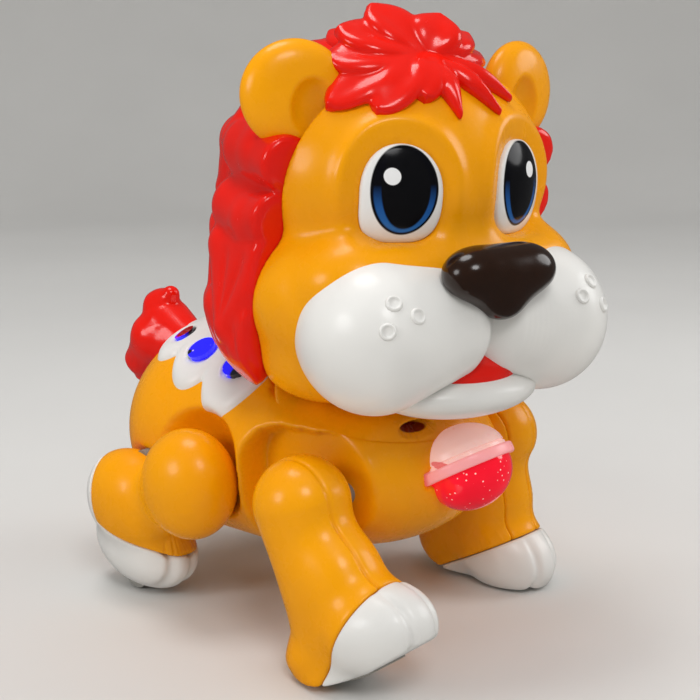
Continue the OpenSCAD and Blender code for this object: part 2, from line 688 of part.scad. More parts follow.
module motor() color(steel) torso() translate(motor_at + [train_x, 0, 0]) difference() {
    union() {
        intersection() {
            x_rod(10, 9.1, 33);
            translate([0, -10, -7.7]) cube([60, 20, 15.4]);
        }
        x_rod(2.9, 7.4, 9.5);
    }
    x_rod(1 + fit, 0, 20);
}
module gearbox_plate(x0, x1, motor_hole) difference() {
    side_plate(x0, x1) union() {
        hull() {
            translate([crank.y, crank.z]) circle(r = 8);
            translate([idler.y, idler.z]) circle(r = 8);
        }
        hull() {
            translate([idler.y, idler.z]) circle(r = 8);
            translate([motor_at.y, motor_at.z]) circle(r = 9);
        }
        translate([26, belly_z + plate_t]) square([9, 34]);
        translate([14, 48]) square([16, 10]);
    }
    translate(crank) x_rod(crank_r + fit, x0 - 1, x1 + 1);
    translate(idler) x_rod(1.5 + fit, x0 - 1, x1 + 1);
    translate(motor_at) x_rod(motor_hole, x0 - 1, x1 + 1);
}
module gearbox_right_plate() color(nylon) torso() gearbox_plate(train_x - 13, train_x - 11, 1.5);
module gearbox_left_plate() color(nylon) torso() gearbox_plate(train_x + 7, train_x + 9, 2.9 + fit);
module idler_pin() color(steel) torso() translate(idler) x_rod(1.5, train_x - 13, train_x + 9);
pin_angle = asin(min(1, crank_arm * sin(front_swing) / throw_r));
module crank_shaft() color(steel) torso() translate(crank) {
    x_rod(crank_r, -disc_x - disc_t, disc_x + disc_t);
    for (s = sides) on_side(s) {
        x_rod(disc_r, disc_x, disc_x + disc_t);
        translate(throw_r * [0, -s * cos(pin_angle), s * sin(pin_angle)]) x_rod(2, disc_x, front_lever_x - 0.3);
    }
}

module right_ear() ear(right);
module left_ear() ear(left);
module right_eye() eye(right);
module left_eye() eye(left);
module right_front_leg_outer() front_leg_outer(right);
module right_front_leg_inner() front_leg_inner(right);
module right_front_paw() front_paw(right);
module right_front_pad() front_pad(right);
module right_shoulder_lever() shoulder_lever(right);
module left_front_leg_outer() front_leg_outer(left);
module left_front_leg_inner() front_leg_inner(left);
module left_front_paw() front_paw(left);
module left_front_pad() front_pad(left);
module left_shoulder_lever() shoulder_lever(left);
module right_hind_leg() hind_leg(right);
module right_hind_paw() hind_paw(right);
module right_hip_lever() hip_lever(right);
module right_hind_roller() hind_roller(right);
module left_hind_leg() hind_leg(left);
module left_hind_paw() hind_paw(left);
module left_hip_lever() hip_lever(left);
module left_hind_roller() hind_roller(left);

face_shell();
mane_shell();
forelock();
right_ear();
left_ear();
right_eye();
left_eye();
muzzle();
nose();
mouth_lining();
lower_jaw();
head_base();
neck_collar();
neck_clip();
body_shell();
belly_plate();
battery_door();
batteries();
battery_contacts();
belly_screws();
speaker();
circuit_board();
power_switch();
back_panel();
window_lenses();
back_leds();
tail();
lamp_cap();
lamp_ring();
lamp_lens();
lamp_led();
gearbox_right_plate();
gearbox_left_plate();
idler_pin();
motor();
motor_pinion();
idler_gear();
crank_gear();
crank_shaft();
right_front_leg_outer();
right_front_leg_inner();
right_front_paw();
right_front_pad();
right_shoulder_lever();
left_front_leg_outer();
left_front_leg_inner();
left_front_paw();
left_front_pad();
left_shoulder_lever();
right_hind_leg();
right_hind_paw();
right_hip_lever();
right_hind_roller();
left_hind_leg();
left_hind_paw();
left_hip_lever();
left_hind_roller();
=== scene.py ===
# %% [markdown]
# # A crawling toy lion
# The toy is a battery lion of glossy moulded plastic: a big head on a turning neck, a red mane,
# four swinging legs, a lamp on the chest and a white back panel with blue windows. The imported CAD
# model is the frame: every piece here stays where its CAD node is, and moves with its body. The toy
# looks towards negative Y, so its right side has negative X, and its neck axis stands at NECK_Y.

# %% Load the frame
import json
import math

import bmesh
import bpy
import numpy as np
from mathutils import Matrix, Vector


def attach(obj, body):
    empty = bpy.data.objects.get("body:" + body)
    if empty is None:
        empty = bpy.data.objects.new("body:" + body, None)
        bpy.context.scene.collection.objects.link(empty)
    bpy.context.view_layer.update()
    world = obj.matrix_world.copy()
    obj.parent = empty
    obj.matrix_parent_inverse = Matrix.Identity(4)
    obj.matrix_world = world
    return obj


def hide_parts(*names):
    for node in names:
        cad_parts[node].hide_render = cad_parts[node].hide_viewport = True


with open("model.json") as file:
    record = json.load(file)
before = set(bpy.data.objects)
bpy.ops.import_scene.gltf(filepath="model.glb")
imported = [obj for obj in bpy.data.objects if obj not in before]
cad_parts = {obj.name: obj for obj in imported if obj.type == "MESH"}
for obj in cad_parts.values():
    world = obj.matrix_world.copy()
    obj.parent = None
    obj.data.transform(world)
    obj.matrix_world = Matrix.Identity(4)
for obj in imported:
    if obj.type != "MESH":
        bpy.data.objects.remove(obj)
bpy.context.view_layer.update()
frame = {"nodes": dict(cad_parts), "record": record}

scene = bpy.context.scene
scene.view_settings.view_transform = "Standard"
NECK_Y = -0.0392
SIDES = {-1: "right", 1: "left"}

# %% [markdown]
# ## The camera first
# The photograph was taken from the front right, at the forelock's height, with a longish lens. The
# camera matrix below has its right, up and backward directions as columns, so it needs no target.

# %% Camera
SENSOR = 36.0
PHOTO_WIDTH = 700
FOCAL_PIXELS = 1300
CAMERA_PLACE = (-0.3669, -0.3464, 0.2100)
CAMERA_BACK = (-0.7269, -0.6523, 0.2147)
camera_data = bpy.data.cameras.new("photo_camera")
camera_data.sensor_width = SENSOR
camera_data.lens = FOCAL_PIXELS * SENSOR / PHOTO_WIDTH
camera_data.clip_start = 0.01
camera = bpy.data.objects.new("photo_camera", camera_data)
scene.collection.objects.link(camera)
camera_back = Vector(CAMERA_BACK).normalized()
camera_right = Vector((0, 0, 1)).cross(camera_back).normalized()
camera_up = camera_back.cross(camera_right)
camera_axes = Matrix((camera_right, camera_up, camera_back)).transposed()
camera.matrix_world = Matrix.Translation(CAMERA_PLACE) @ camera_axes.to_4x4()
scene.camera = camera
print("camera lens", round(camera_data.lens, 1), "mm")

# %% [markdown]
# ## Finishes
# Toy plastic is never one flat colour: the moulding varies a little in tone, its gloss is broken by
# fine orange peel and by scuffs from handling. One function makes every plastic, with noise on
# Object coordinates so that the pattern stays with the piece.

# %% Plastic finish
def new_material(name):
    material = bpy.data.materials.new(name)
    material.use_nodes = True
    tree = material.node_tree
    return material, tree, tree.nodes["Principled BSDF"]


def noise(tree, scale, detail=3.0):
    place = tree.nodes.new("ShaderNodeTexCoord")
    texture = tree.nodes.new("ShaderNodeTexNoise")
    texture.inputs["Scale"].default_value = scale
    texture.inputs["Detail"].default_value = detail
    tree.links.new(place.outputs["Object"], texture.inputs["Vector"])
    return texture.outputs["Fac"]


def ramp(tree, source, stops, target=None):
    """Turns a value into a colour between stops, and leads it to a socket where one is given."""
    node = tree.nodes.new("ShaderNodeValToRGB")
    elements = node.color_ramp.elements
    while len(elements) < len(stops):
        elements.new(0.5)
    for element, (place, colour) in zip(elements, stops):
        element.position = place
        element.color = (*colour, 1)
    tree.links.new(source, node.inputs["Fac"])
    if target is not None:
        tree.links.new(node.outputs["Color"], target)
    return node.outputs["Color"]


def tone(colour, factor):
    return tuple(min(1.0, c * factor) for c in colour)


def plastic(name, colour, rough=0.24, peel=0.00004, coat=0.12, subsurface=0.0, shine=0.35):
    material, tree, shader = new_material(name)
    cloud, scuff, grain = noise(tree, 28, 2), noise(tree, 160, 6), noise(tree, 900, 2)
    ramp(tree, cloud, [(0.3, tone(colour, 0.93)), (0.7, tone(colour, 1.05))], shader.inputs["Base Color"])
    ramp(tree, scuff, [(0.35, (rough,) * 3), (0.8, (rough + 0.12,) * 3)], shader.inputs["Roughness"])
    bump = tree.nodes.new("ShaderNodeBump")
    bump.inputs["Strength"].default_value = 0.35
    bump.inputs["Distance"].default_value = peel
    tree.links.new(grain, bump.inputs["Height"])
    tree.links.new(bump.outputs["Normal"], shader.inputs["Normal"])
    shader.inputs["Specular IOR Level"].default_value = shine
    shader.inputs["Coat Weight"].default_value = coat
    shader.inputs["Coat Roughness"].default_value = 0.08
    if subsurface:
        shader.inputs["Subsurface Weight"].default_value = subsurface
        shader.inputs["Subsurface Radius"].default_value = (0.003, 0.002, 0.001)
    return material


YELLOW = (0.98, 0.38, 0.001)
RED = (0.86, 0.01, 0.003)
WHITE = (0.83, 0.82, 0.79)
finish = {
    "yellow": plastic("yellow_plastic", YELLOW, coat=0.1, shine=0.22),
    "red": plastic("red_plastic", RED, rough=0.18, coat=0.3, shine=0.3),
    "white": plastic("white_plastic", WHITE, rough=0.3),
    "nose": plastic("brown_nose_plastic", (0.02, 0.008, 0.004), rough=0.14, coat=0.15),
    "nylon": plastic("nylon", (0.25, 0.24, 0.22), rough=0.45, coat=0.0),
    "black": plastic("black_plastic", (0.018, 0.018, 0.02), rough=0.4, coat=0.0),
    "board": plastic("solder_mask", (0.01, 0.16, 0.05), rough=0.35),
    "cell": plastic("cell_sleeve", (0.06, 0.14, 0.08), rough=0.3),
    "rubber": plastic("grey_rubber", (0.34, 0.33, 0.3), rough=0.65, peel=0.0001, coat=0.0),
    "led": plastic("clear_resin", (0.8, 0.8, 0.78), rough=0.15),
}
print(len(finish), "plastic finishes")

# %% [markdown]
# ## Metal and lit lenses
# The few metal pieces are inside. The lamp lens is clear red with glitter in it and lit from behind,
# and the windows are clear blue in front of a lit diode, so both glow a little by themselves.

# %% Metal and lens finishes
def metal(name, colour, rough):
    material, tree, shader = new_material(name)
    brushed = noise(tree, 240, 4)
    ramp(tree, brushed, [(0.3, tone(colour, 0.85)), (0.7, colour)], shader.inputs["Base Color"])
    ramp(tree, brushed, [(0.3, (rough,) * 3), (0.8, (rough + 0.15,) * 3)], shader.inputs["Roughness"])
    shader.inputs["Metallic"].default_value = 1.0
    return material


def lens(name, colour, glow, flake_scale, rough):
    material, tree, shader = new_material(name)
    place = tree.nodes.new("ShaderNodeTexCoord")
    flakes = tree.nodes.new("ShaderNodeTexVoronoi")
    flakes.inputs["Scale"].default_value = flake_scale
    tree.links.new(place.outputs["Object"], flakes.inputs["Vector"])
    glitter = flakes.outputs["Distance"]
    ramp(tree, glitter, [(0.1, (1.0, 0.8, 0.75)), (0.16, colour)], shader.inputs["Base Color"])
    cloud = noise(tree, 55, 2)
    ramp(tree, cloud, [(0.3, tone(colour, 0.55)), (0.65, colour)], shader.inputs["Emission Color"])
    shader.inputs["Emission Strength"].default_value = glow
    shader.inputs["Roughness"].default_value = rough
    shader.inputs["Coat Weight"].default_value = 0.6
    shader.inputs["Coat Roughness"].default_value = 0.04
    return material


finish["steel"] = metal("bare_steel", (0.62, 0.62, 0.64), 0.3)
finish["brass"] = metal("brass", (0.72, 0.5, 0.2), 0.28)
finish["red_lens"] = lens("red_lamp_lens", (0.78, 0.004, 0.02), 0.55, 420, 0.12)
finish["blue_lens"] = lens("blue_window_lens", (0.012, 0.008, 0.9), 0.9, 300, 0.12)
finish["lamp_rim"] = plastic("lamp_rim_plastic", (0.83, 0.42, 0.42), rough=0.26, subsurface=0.2)
finish["lamp_cap"] = plastic("lamp_cap_plastic", (0.84, 0.62, 0.58), rough=0.26, subsurface=0.2)
for part, glow in (("lamp_rim", (0.8, 0.16, 0.18)), ("lamp_cap", (0.85, 0.4, 0.34))):
    lit = finish[part].node_tree.nodes["Principled BSDF"]
    lit.inputs["Emission Color"].default_value = (*glow, 1)
    lit.inputs["Emission Strength"].default_value = 0.35
print(len(finish), "finishes in all")

# %% [markdown]
# ## Painted shade and a slot
# Painted shade in the wells of the blue windows, the slot in the lamp's cap and painted shade in the
# collar's scoop are small soft-edged spots. They could be painted on a map, but an oval that is worked out
# from Object coordinates needs no image and stays sharp close up. It covers the colour, and the windows'
# glow too.

# %% Marks on a finish
def marks(material, ovals):
    """Adds soft-edged ovals (centre, radii, colour) in metres to a finish."""
    tree = material.node_tree
    shader = tree.nodes["Principled BSDF"]
    place = tree.nodes.new("ShaderNodeTexCoord").outputs["Object"]
    for centre, radii, colour in ovals:
        share = place
        for operation, value in (("SUBTRACT", centre), ("DIVIDE", radii), ("LENGTH", None)):
            step = tree.nodes.new("ShaderNodeVectorMath")
            step.operation = operation
            tree.links.new(share, step.inputs[0])
            if value:
                step.inputs[1].default_value = value
            share = step.outputs["Value" if operation == "LENGTH" else "Vector"]
        edge = tree.nodes.new("ShaderNodeMapRange")
        edge.inputs["From Min"].default_value = 1.08
        edge.inputs["From Max"].default_value = 0.92
        tree.links.new(share, edge.inputs["Value"])
        for name in ("Base Color", "Emission Color"):
            if not shader.inputs[name].is_linked:
                continue
            mix = tree.nodes.new("ShaderNodeMix")
            mix.data_type = "RGBA"
            tree.links.new(shader.inputs[name].links[0].from_socket, mix.inputs["A"])
            mix.inputs["B"].default_value = (*colour, 1)
            tree.links.new(edge.outputs["Result"], mix.inputs["Factor"])
            tree.links.new(mix.outputs["Result"], shader.inputs[name])


WELL_SHADE_BLACK = (0.003, 0.003, 0.005)
SLOT_RED = (0.6, 0.01, 0.03)
SCOOP_SHADE = (0.16, 0.006, 0.003)
# Painted shade: black spots in the blue windows' wells, where the wells lie in shadow.
WINDOW_SHADE_SPOTS = [(0.0355, 0.0445, 0.0945, 0.0055), (0.033, 0.0775, 0.0965, 0.0026), (0.023, 0.091, 0.1025, 0.0046)]
window_shade_ovals = [((s * x, y + NECK_Y, z), (r, r, r), WELL_SHADE_BLACK) for s in SIDES for x, y, z, r in WINDOW_SHADE_SPOTS]
marks(finish["blue_lens"], window_shade_ovals)
marks(finish["lamp_cap"], [((-0.0158, -0.0749, 0.0705), (0.0035, 0.0045, 0.0013), SLOT_RED)])
finish["collar"] = plastic("yellow_collar_plastic", YELLOW)
marks(finish["collar"], [((-0.0137, -0.0605, 0.0818), (0.0062, 0.0042, 0.0017), SCOOP_SHADE)])
print(len(window_shade_ovals) + 2, "marks")

# %% [markdown]
# ## Clay: shapes from distances
# The mouldings are soft blends of a few rounded forms. Each form is a function that gives how far a
# point lies outside it. Two forms blend where their distances are close. A fine icosphere is then
# drawn in, each vertex along its own ray, until it lies on the blended skin, as clay is pressed on
# an armature. All shapes are worked out in millimetres from the neck axis.

# %% Distance helpers
def ball(centre, radii):
    centre, radii = np.array(centre, float), np.array(radii, float)

    def distance(p):
        q = (p - centre) / radii
        near = np.linalg.norm(q, axis=1)
        slope = np.linalg.norm(q / radii, axis=1)
        return near * (near - 1) / np.maximum(slope, 1e-9)
    return distance


def lock(points):
    """A tapering lock of hair through (x, y, z, radius) points."""
    points = np.array(points, float)
    middle = points[:, :3].mean(0)
    reach = np.linalg.norm(points[:, :3] - middle, axis=1).max() + points[:, 3].max() + 14

    def distance(p):
        out = np.full(len(p), 40.0)
        close = np.linalg.norm(p - middle, axis=1) < reach
        q = p[close]
        best = np.full(len(q), 40.0)
        for a, b in zip(points[:-1], points[1:]):
            run = b[:3] - a[:3]
            t = np.clip((q - a[:3]) @ run / (run @ run), 0, 1)
            d = np.linalg.norm(q - a[:3] - t[:, None] * run, axis=1) - (a[3] + t * (b[3] - a[3]))
            best = soft_min(best, d, 2.0)
        out[close] = best
        return out
    return distance


def soft_min(a, b, k):
    h = np.maximum(k - np.abs(a - b), 0) / k
    return np.minimum(a, b) - h * h * k / 4


def soft_max(a, b, k):
    return -soft_min(-a, -b, k)


def blend(forms, k):
    def distance(p):
        d = forms[0](p)
        for form in forms[1:]:
            d = soft_min(d, form(p), k)
        return d
    return distance


HEAD_TURN = math.radians(-16)
MILLIMETRES = Matrix.Scale(0.001, 4)
NECK_AXIS = Matrix.Translation((0, NECK_Y, 0))
NECK = NECK_AXIS @ MILLIMETRES
HEAD = NECK_AXIS @ Matrix.Rotation(HEAD_TURN, 4, "Z") @ MILLIMETRES
made = []


def to_object(name, bm, place, slot, body, nodes, sharp=None):
    """Makes a bmesh an object in metres that rides on a body and stands for CAD nodes."""
    mesh = bpy.data.meshes.new(name)
    bm.transform(place)
    for face in bm.faces:
        face.smooth = True
    if sharp:
        for edge in bm.edges:
            if edge.is_manifold and edge.calc_face_angle(0) > math.radians(sharp):
                edge.smooth = False
    bm.to_mesh(mesh)
    bm.free()
    piece = bpy.data.objects.new(name, mesh)
    scene.collection.objects.link(piece)
    mesh.materials.append(finish[slot])
    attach(piece, body)
    if nodes:
        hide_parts(*nodes)
    made.append(name)
    return piece


def press(form, centre, level, far, near=0.0, steps=40, stretch=(1, 1, 1)):
    """Draws an icosphere in on a form, along rays from centre, between two distances."""
    bm = bmesh.new()
    bmesh.ops.create_icosphere(bm, subdivisions=level, radius=1)
    rays = np.array([v.co for v in bm.verts]) * stretch
    rays /= np.linalg.norm(rays, axis=1)[:, None]
    centre = np.array(centre, float)
    outer = np.full(len(rays), float(far))
    inner = np.full(len(rays), float(near))
    found = np.zeros(len(rays), bool)
    for t in np.linspace(far, near, steps)[1:]:
        todo = np.nonzero(~found)[0]
        if len(todo) == 0:
            break
        inside = form(centre + t * rays[todo]) < 0
        inner[todo[inside]] = t
        outer[todo[~inside]] = t
        found[todo[inside]] = True
    for _ in range(11):
        middle = (inner + outer) / 2
        inside = form(centre + middle[:, None] * rays) < 0
        inner = np.where(inside, middle, inner)
        outer = np.where(inside, outer, middle)
    skin = centre + ((inner + outer) / 2)[:, None] * rays
    for vertex, place in zip(bm.verts, skin):
        vertex.co = place
    return bm


def soften(bm, times, factor=0.5):
    for _ in range(times):
        bmesh.ops.smooth_vert(bm, verts=bm.verts, factor=factor, use_axis_x=True, use_axis_y=True,
                              use_axis_z=True)


def open_shell(bm, gone, thickness):
    """Takes away the faces whose middles are marked, and thickens what stays into a wall."""
    places = np.array([face.calc_center_median() for face in bm.faces])
    bmesh.ops.delete(bm, geom=[face for face, out in zip(bm.faces, gone(places)) if out], context="FACES")
    for _ in range(6):
        pinched = [v for v in bm.verts if sum(edge.is_boundary for edge in v.link_edges) > 2]
        if not pinched:
            break
        bmesh.ops.delete(bm, geom=pinched, context="VERTS")
    bmesh.ops.solidify(bm, geom=bm.faces[:], thickness=thickness)


def turned(outline, steps, merge=1e-4):
    """Spins an outline of (radius, height) points once round the Z axis."""
    bm = bmesh.new()
    ring = [bm.verts.new((r, 0, h)) for r, h in outline]
    edges = [bm.edges.new(pair) for pair in zip(ring[:-1], ring[1:])]
    bmesh.ops.spin(bm, geom=ring + edges, cent=(0, 0, 0), axis=(0, 0, 1), angle=2 * math.pi,
                   steps=steps, use_merge=True)
    bmesh.ops.remove_doubles(bm, verts=bm.verts, dist=merge)
    bmesh.ops.recalc_face_normals(bm, faces=bm.faces)
    return bm


print("helpers ready")

# %% [markdown]
# ## Face
# The yellow face shell is a skull and two jowls blended together, with a roll across the snout under
# the eyes and a brow round each eye. The eye sockets are sunk so that the printed eyes sit in a rim.

# %% Face shell
EYE_LINE = 168
EYE_X, EYE_Y, EYE_RX, EYE_RZ = 25, -40, 14, 16.5
EYE_CANT = math.radians(22)
SKULL_AT, SKULL_R = (0, -2, EYE_LINE + 2), (57, 46, 47)
JOWL_AT, JOWL_R = (0, -11, EYE_LINE - 38), (63, 44, 40)
skull = ball(SKULL_AT, SKULL_R)
jowl = ball(JOWL_AT, JOWL_R)
snouts = [ball((s * 29, -30, EYE_LINE - 30), (27, 20, 18)) for s in SIDES]
corners = [ball((s * 34, -5, EYE_LINE - 60), (22, 25, 16)) for s in SIDES]


def eye_rim(x, z):
    """Distance from the middle of an eye as a share of its outline, squarer below than above."""
    x, z = np.abs(x) / EYE_RX, z / EYE_RZ
    power = np.where(z < 0, 3.2, 2.1)
    return (x ** power + np.abs(z) ** power) ** (1 / power)


def eye_plane(p, s):
    """Sideways and upward places of points on the plane that an eye lies along."""
    c, w = math.cos(s * EYE_CANT), math.sin(s * EYE_CANT)
    x, y = p[:, 0] - s * EYE_X, p[:, 1] - EYE_Y
    return x * c + y * w, p[:, 2] - EYE_LINE


def face_form(p):
    d = soft_min(skull(p), jowl(p), 5)
    front = p[:, 1] < -12
    for snout, corner in zip(snouts, corners):
        d = soft_min(soft_min(d, snout(p), 5), corner(p), 9)
    for s in SIDES:
        x, z = eye_plane(p, s)
        rho = eye_rim(x, z)
        brow = 1.8 * np.exp(-((rho - 1.5) / 0.17) ** 2) / (1 + np.exp(-(z + 4) / 4))
        hollow = 1.3 * np.exp(-((rho - 1.02) / 0.2) ** 2)
        d = d + np.where(front, hollow - brow, 0)
        hole = soft_max((rho - 1.0) * EYE_RX, -(skull(p) + 4), 0.5)
        d = np.where(front, soft_max(d, -hole, 1.0), d)
    return d


SEAM_Y, SEAM_LEAN = -14, math.radians(12)
SEAM_GAP = 0.1
FACE_WALL = 1.8


def behind(p):
    """Distance behind the leaning seam between face and mane."""
    return (p[:, 1] - SEAM_Y) * math.cos(SEAM_LEAN) + (p[:, 2] - EYE_LINE) * math.sin(SEAM_LEAN)


def neck_hole(p):
    """Marks the points where the neck's post enters the head."""
    return (np.hypot(p[:, 0], p[:, 1]) < 22) & (p[:, 2] < 107)


bm = press(face_form, (0, -8, 150), level=7, far=85, near=20, steps=60)
soften(bm, 2)
seam_normal = Vector((0, math.cos(SEAM_LEAN), math.sin(SEAM_LEAN)))
seam_place = Vector((0, SEAM_Y, EYE_LINE)) - SEAM_GAP * seam_normal
bmesh.ops.bisect_plane(bm, geom=bm.verts[:] + bm.edges[:] + bm.faces[:], clear_outer=True,
                       plane_co=seam_place, plane_no=seam_normal)
open_shell(bm, neck_hole, FACE_WALL)
face = to_object("face_shell_skin", bm, HEAD, "yellow", "head", ["face_shell"])
print("face", len(face.data.polygons), "faces")

# %% [markdown]
# ## Eyes
# Each eye is a shallow dome set in its socket. It is spun as a round dome, then drawn out to the eye's
# outline and laid along the skull. A UV map holds the outline, so that the print follows the eye.

# %% Printed eye finish
def eye_print(name, s):
    material, tree, shader = new_material(name)
    place = tree.nodes.new("ShaderNodeUVMap")
    split = tree.nodes.new("ShaderNodeSeparateXYZ")
    tree.links.new(place.outputs["UV"], split.inputs["Vector"])

    def math_node(operation, a, b=None):
        node = tree.nodes.new("ShaderNodeMath")
        node.operation = operation
        for socket, value in zip(node.inputs, (a, b)):
            if value is None:
                continue
            if isinstance(value, (int, float)):
                socket.default_value = value
            else:
                tree.links.new(value, socket)
        return node.outputs[0]

    def oval(cx, cz, rx, rz, soft):
        x = math_node("DIVIDE", math_node("SUBTRACT", split.outputs["X"], cx), rx)
        z = math_node("DIVIDE", math_node("SUBTRACT", split.outputs["Y"], cz), rz)
        r = math_node("SQRT", math_node("ADD", math_node("MULTIPLY", x, x), math_node("MULTIPLY", z, z)))
        edge = tree.nodes.new("ShaderNodeMapRange")
        edge.inputs["From Min"].default_value = 1.0 + soft
        edge.inputs["From Max"].default_value = 1.0 - soft
        tree.links.new(r, edge.inputs["Value"])
        return edge.outputs["Result"]

    def over(base, colour, share):
        node = tree.nodes.new("ShaderNodeMix")
        node.data_type = "RGBA"
        for socket, value in ((node.inputs["A"], base), (node.inputs["B"], colour)):
            if isinstance(value, tuple):
                socket.default_value = (*value, 1)
            else:
                tree.links.new(value, socket)
        tree.links.new(share, node.inputs["Factor"])
        return node.outputs["Result"]

    iris_tone = tree.nodes.new("ShaderNodeMapRange")
    iris_tone.inputs["From Min"].default_value = -0.75
    iris_tone.inputs["From Max"].default_value = 0.2
    tree.links.new(split.outputs["Y"], iris_tone.inputs["Value"])
    blue = ramp(tree, iris_tone.outputs["Result"], [
        (0.0, (0.03, 0.16, 0.5)), (0.55, (0.015, 0.09, 0.32)), (1.0, (0.004, 0.004, 0.006))])
    colour = over((0.86, 0.86, 0.85), (0.004, 0.004, 0.005), oval(0.03 * -s, 0.08, 0.83, 0.9, 0.015))
    colour = over(colour, blue, oval(0.03 * -s, 0.07, 0.76, 0.84, 0.02))
    colour = over(colour, (0.005, 0.005, 0.006), oval(0.04 * -s, 0.1, 0.6, 0.8, 0.025))
    colour = over(colour, (0.9, 0.9, 0.9), oval(0.3 * s, 0.37, 0.2, 0.17, 0.04))
    tree.links.new(colour, shader.inputs["Base Color"])
    grain = noise(tree, 300, 3)
    ramp(tree, grain, [(0.3, (0.1,) * 3), (0.8, (0.18,) * 3)], shader.inputs["Roughness"])
    shader.inputs["Specular IOR Level"].default_value = 0.15
    return material


# %% Eye domes
EYE_SUNK, EYE_DOME = -0.3, 1.0


def eye_stretch(v):
    """How far out the eye's outline lies in a vertex's direction, where a round eye has 1."""
    angle = math.atan2(v.y, v.x)
    rim = eye_rim(np.array([math.cos(angle) * EYE_RX]), np.array([math.sin(angle) * EYE_RZ]))
    return 1 / float(rim[0])


def make_eye(s, side):
    outline = [(0.97 * k / 12, 0.0) for k in range(13)] + [(1.0, -0.45), (1.0, -3.0)]
    bm = turned(outline, 72)
    uv = bm.loops.layers.uv.new("outline")
    for face in bm.faces:
        for loop in face.loops:
            v = loop.vert.co
            stretch = eye_stretch(v)
            loop[uv].uv = (v.x * stretch, v.y * stretch)
    c, w = math.cos(s * EYE_CANT), math.sin(s * EYE_CANT)
    for v in bm.verts:
        r = math.hypot(v.co.x, v.co.y)
        stretch = eye_stretch(v.co)
        x, z = v.co.x * stretch * EYE_RX, v.co.y * stretch * EYE_RZ
        px, pz = s * EYE_X + x * c, EYE_LINE + z
        lift = 1 - (px / SKULL_R[0]) ** 2 - ((pz - SKULL_AT[2]) / SKULL_R[2]) ** 2
        skull_y = SKULL_AT[1] - SKULL_R[1] * math.sqrt(max(lift, 0))
        drop = EYE_SUNK + EYE_DOME * r * r - v.co.z
        v.co = (px - drop * w, skull_y + drop * c, pz)
    bmesh.ops.recalc_face_normals(bm, faces=bm.faces)
    finish[f"{side}_eye"] = eye_print(f"{side}_eye_print", s)
    return to_object(f"{side}_eye_dome", bm, HEAD, f"{side}_eye", "head", [f"{side}_eye"])


for s, side in SIDES.items():
    make_eye(s, side)
print("eyes made")

# %% [markdown]
# ## Muzzle, nose, mouth and jaw
# The white muzzle is two cheeks that meet in a cleft under the nose. Six whisker marks are small
# raised rings on the skin. The nose is a rounded triangle, and below the cleft a red mouth shows
# above the crescent of the lower jaw.

# %% Muzzle
def drawn_between(stations, steps=12):
    """The skin over a row of balls given as (centre, radii)."""
    row = []
    for (c0, r0), (c1, r1) in zip(stations[:-1], stations[1:]):
        for t in np.linspace(0, 1, steps):
            centre = np.array(c0) * (1 - t) + np.array(c1) * t
            row.append(ball(centre, np.array(r0) * (1 - t) + np.array(r1) * t))

    def distance(p):
        d = row[0](p)
        for each in row[1:]:
            d = np.minimum(d, each(p))
        return d
    return distance


cheeks = [drawn_between([((s * 10, -38, EYE_LINE - 44), (14.6, 27.5, 22)),
                         ((s * 35, -38, EYE_LINE - 47), (24.5, 29.5, 27))]) for s in SIDES]


def muzzle_form(p):
    return soft_min(cheeks[0](p), cheeks[1](p), 1.0)


bm = press(muzzle_form, (0, -36, EYE_LINE - 47), level=7, far=72, near=4, steps=50)
soften(bm, 1)
muzzle = to_object("muzzle_skin", bm, HEAD, "white", "head", ["muzzle"])
print("muzzle", len(muzzle.data.polygons), "faces")

# %% Whisker rings
WHISKERS = [(-41.1, -60.9, 135.9), (-34.8, -65.6, 132.2), (-45.1, -63.5, 127.8)]
RING_OUTLINE = [(0.0, 0.05), (1.35, 0.08), (1.6, 0.2), (1.95, 0.75), (2.25, 0.8), (2.6, 0.55), (3.0, -0.4),
                (0.0, -1.2)]


def on_skin(form, start, ray):
    """Where a ray from inside a form meets its skin, and the outward direction there."""
    start, ray = np.array(start, float), np.array(ray, float)
    ray /= np.linalg.norm(ray)
    low, high = 0.0, 80.0
    for _ in range(40):
        middle = (low + high) / 2
        if form((start + middle * ray)[None])[0] < 0:
            low = middle
        else:
            high = middle
    place = start + low * ray
    step = np.eye(3) * 0.2
    return place, np.array([form((place + e)[None])[0] - form((place - e)[None])[0] for e in step])


def whisker_ring(name, place, normal):
    bm = turned(RING_OUTLINE, 28)
    turn = Vector(normal).to_track_quat("Z", "Y").to_matrix().to_4x4()
    bm.transform(Matrix.Translation(place) @ turn)
    ring_piece = to_object(name, bm, HEAD, "white", "head", [])


for s, side in SIDES.items():
    cheek_middle = np.array((s * 24, -38, EYE_LINE - 46))
    for k, (x, y, z) in enumerate(WHISKERS):
        ray = np.array((-s * x, y, z)) - cheek_middle
        place, normal = on_skin(muzzle_form, cheek_middle, ray)
        whisker_ring(f"{side}_whisker_ring_{k + 1}", Vector(place), normal)
print(2 * len(WHISKERS), "whisker rings")

# %% Nose, mouth and jaw
nose_blobs = [ball((s * 12, -62, EYE_LINE - 25), (9.5, 9, 7.5)) for s in SIDES]
nose_blobs += [ball((0, -63, EYE_LINE - 34), (8, 8, 7)), ball((0, -62.5, EYE_LINE - 24.5), (15, 9.2, 8))]
bm = press(blend(nose_blobs, 9), (0, -60, EYE_LINE - 28), level=6, far=34, near=2)
soften(bm, 2)
to_object("nose_skin", bm, HEAD, "nose", "head", ["nose"])
MOUTH_AT = (0, -38, EYE_LINE - 62)
bm = press(ball(MOUTH_AT, (24, 20, 12)), MOUTH_AT, level=6, far=40)
to_object("mouth_lining_skin", bm, HEAD, "red", "head", ["mouth_lining"])


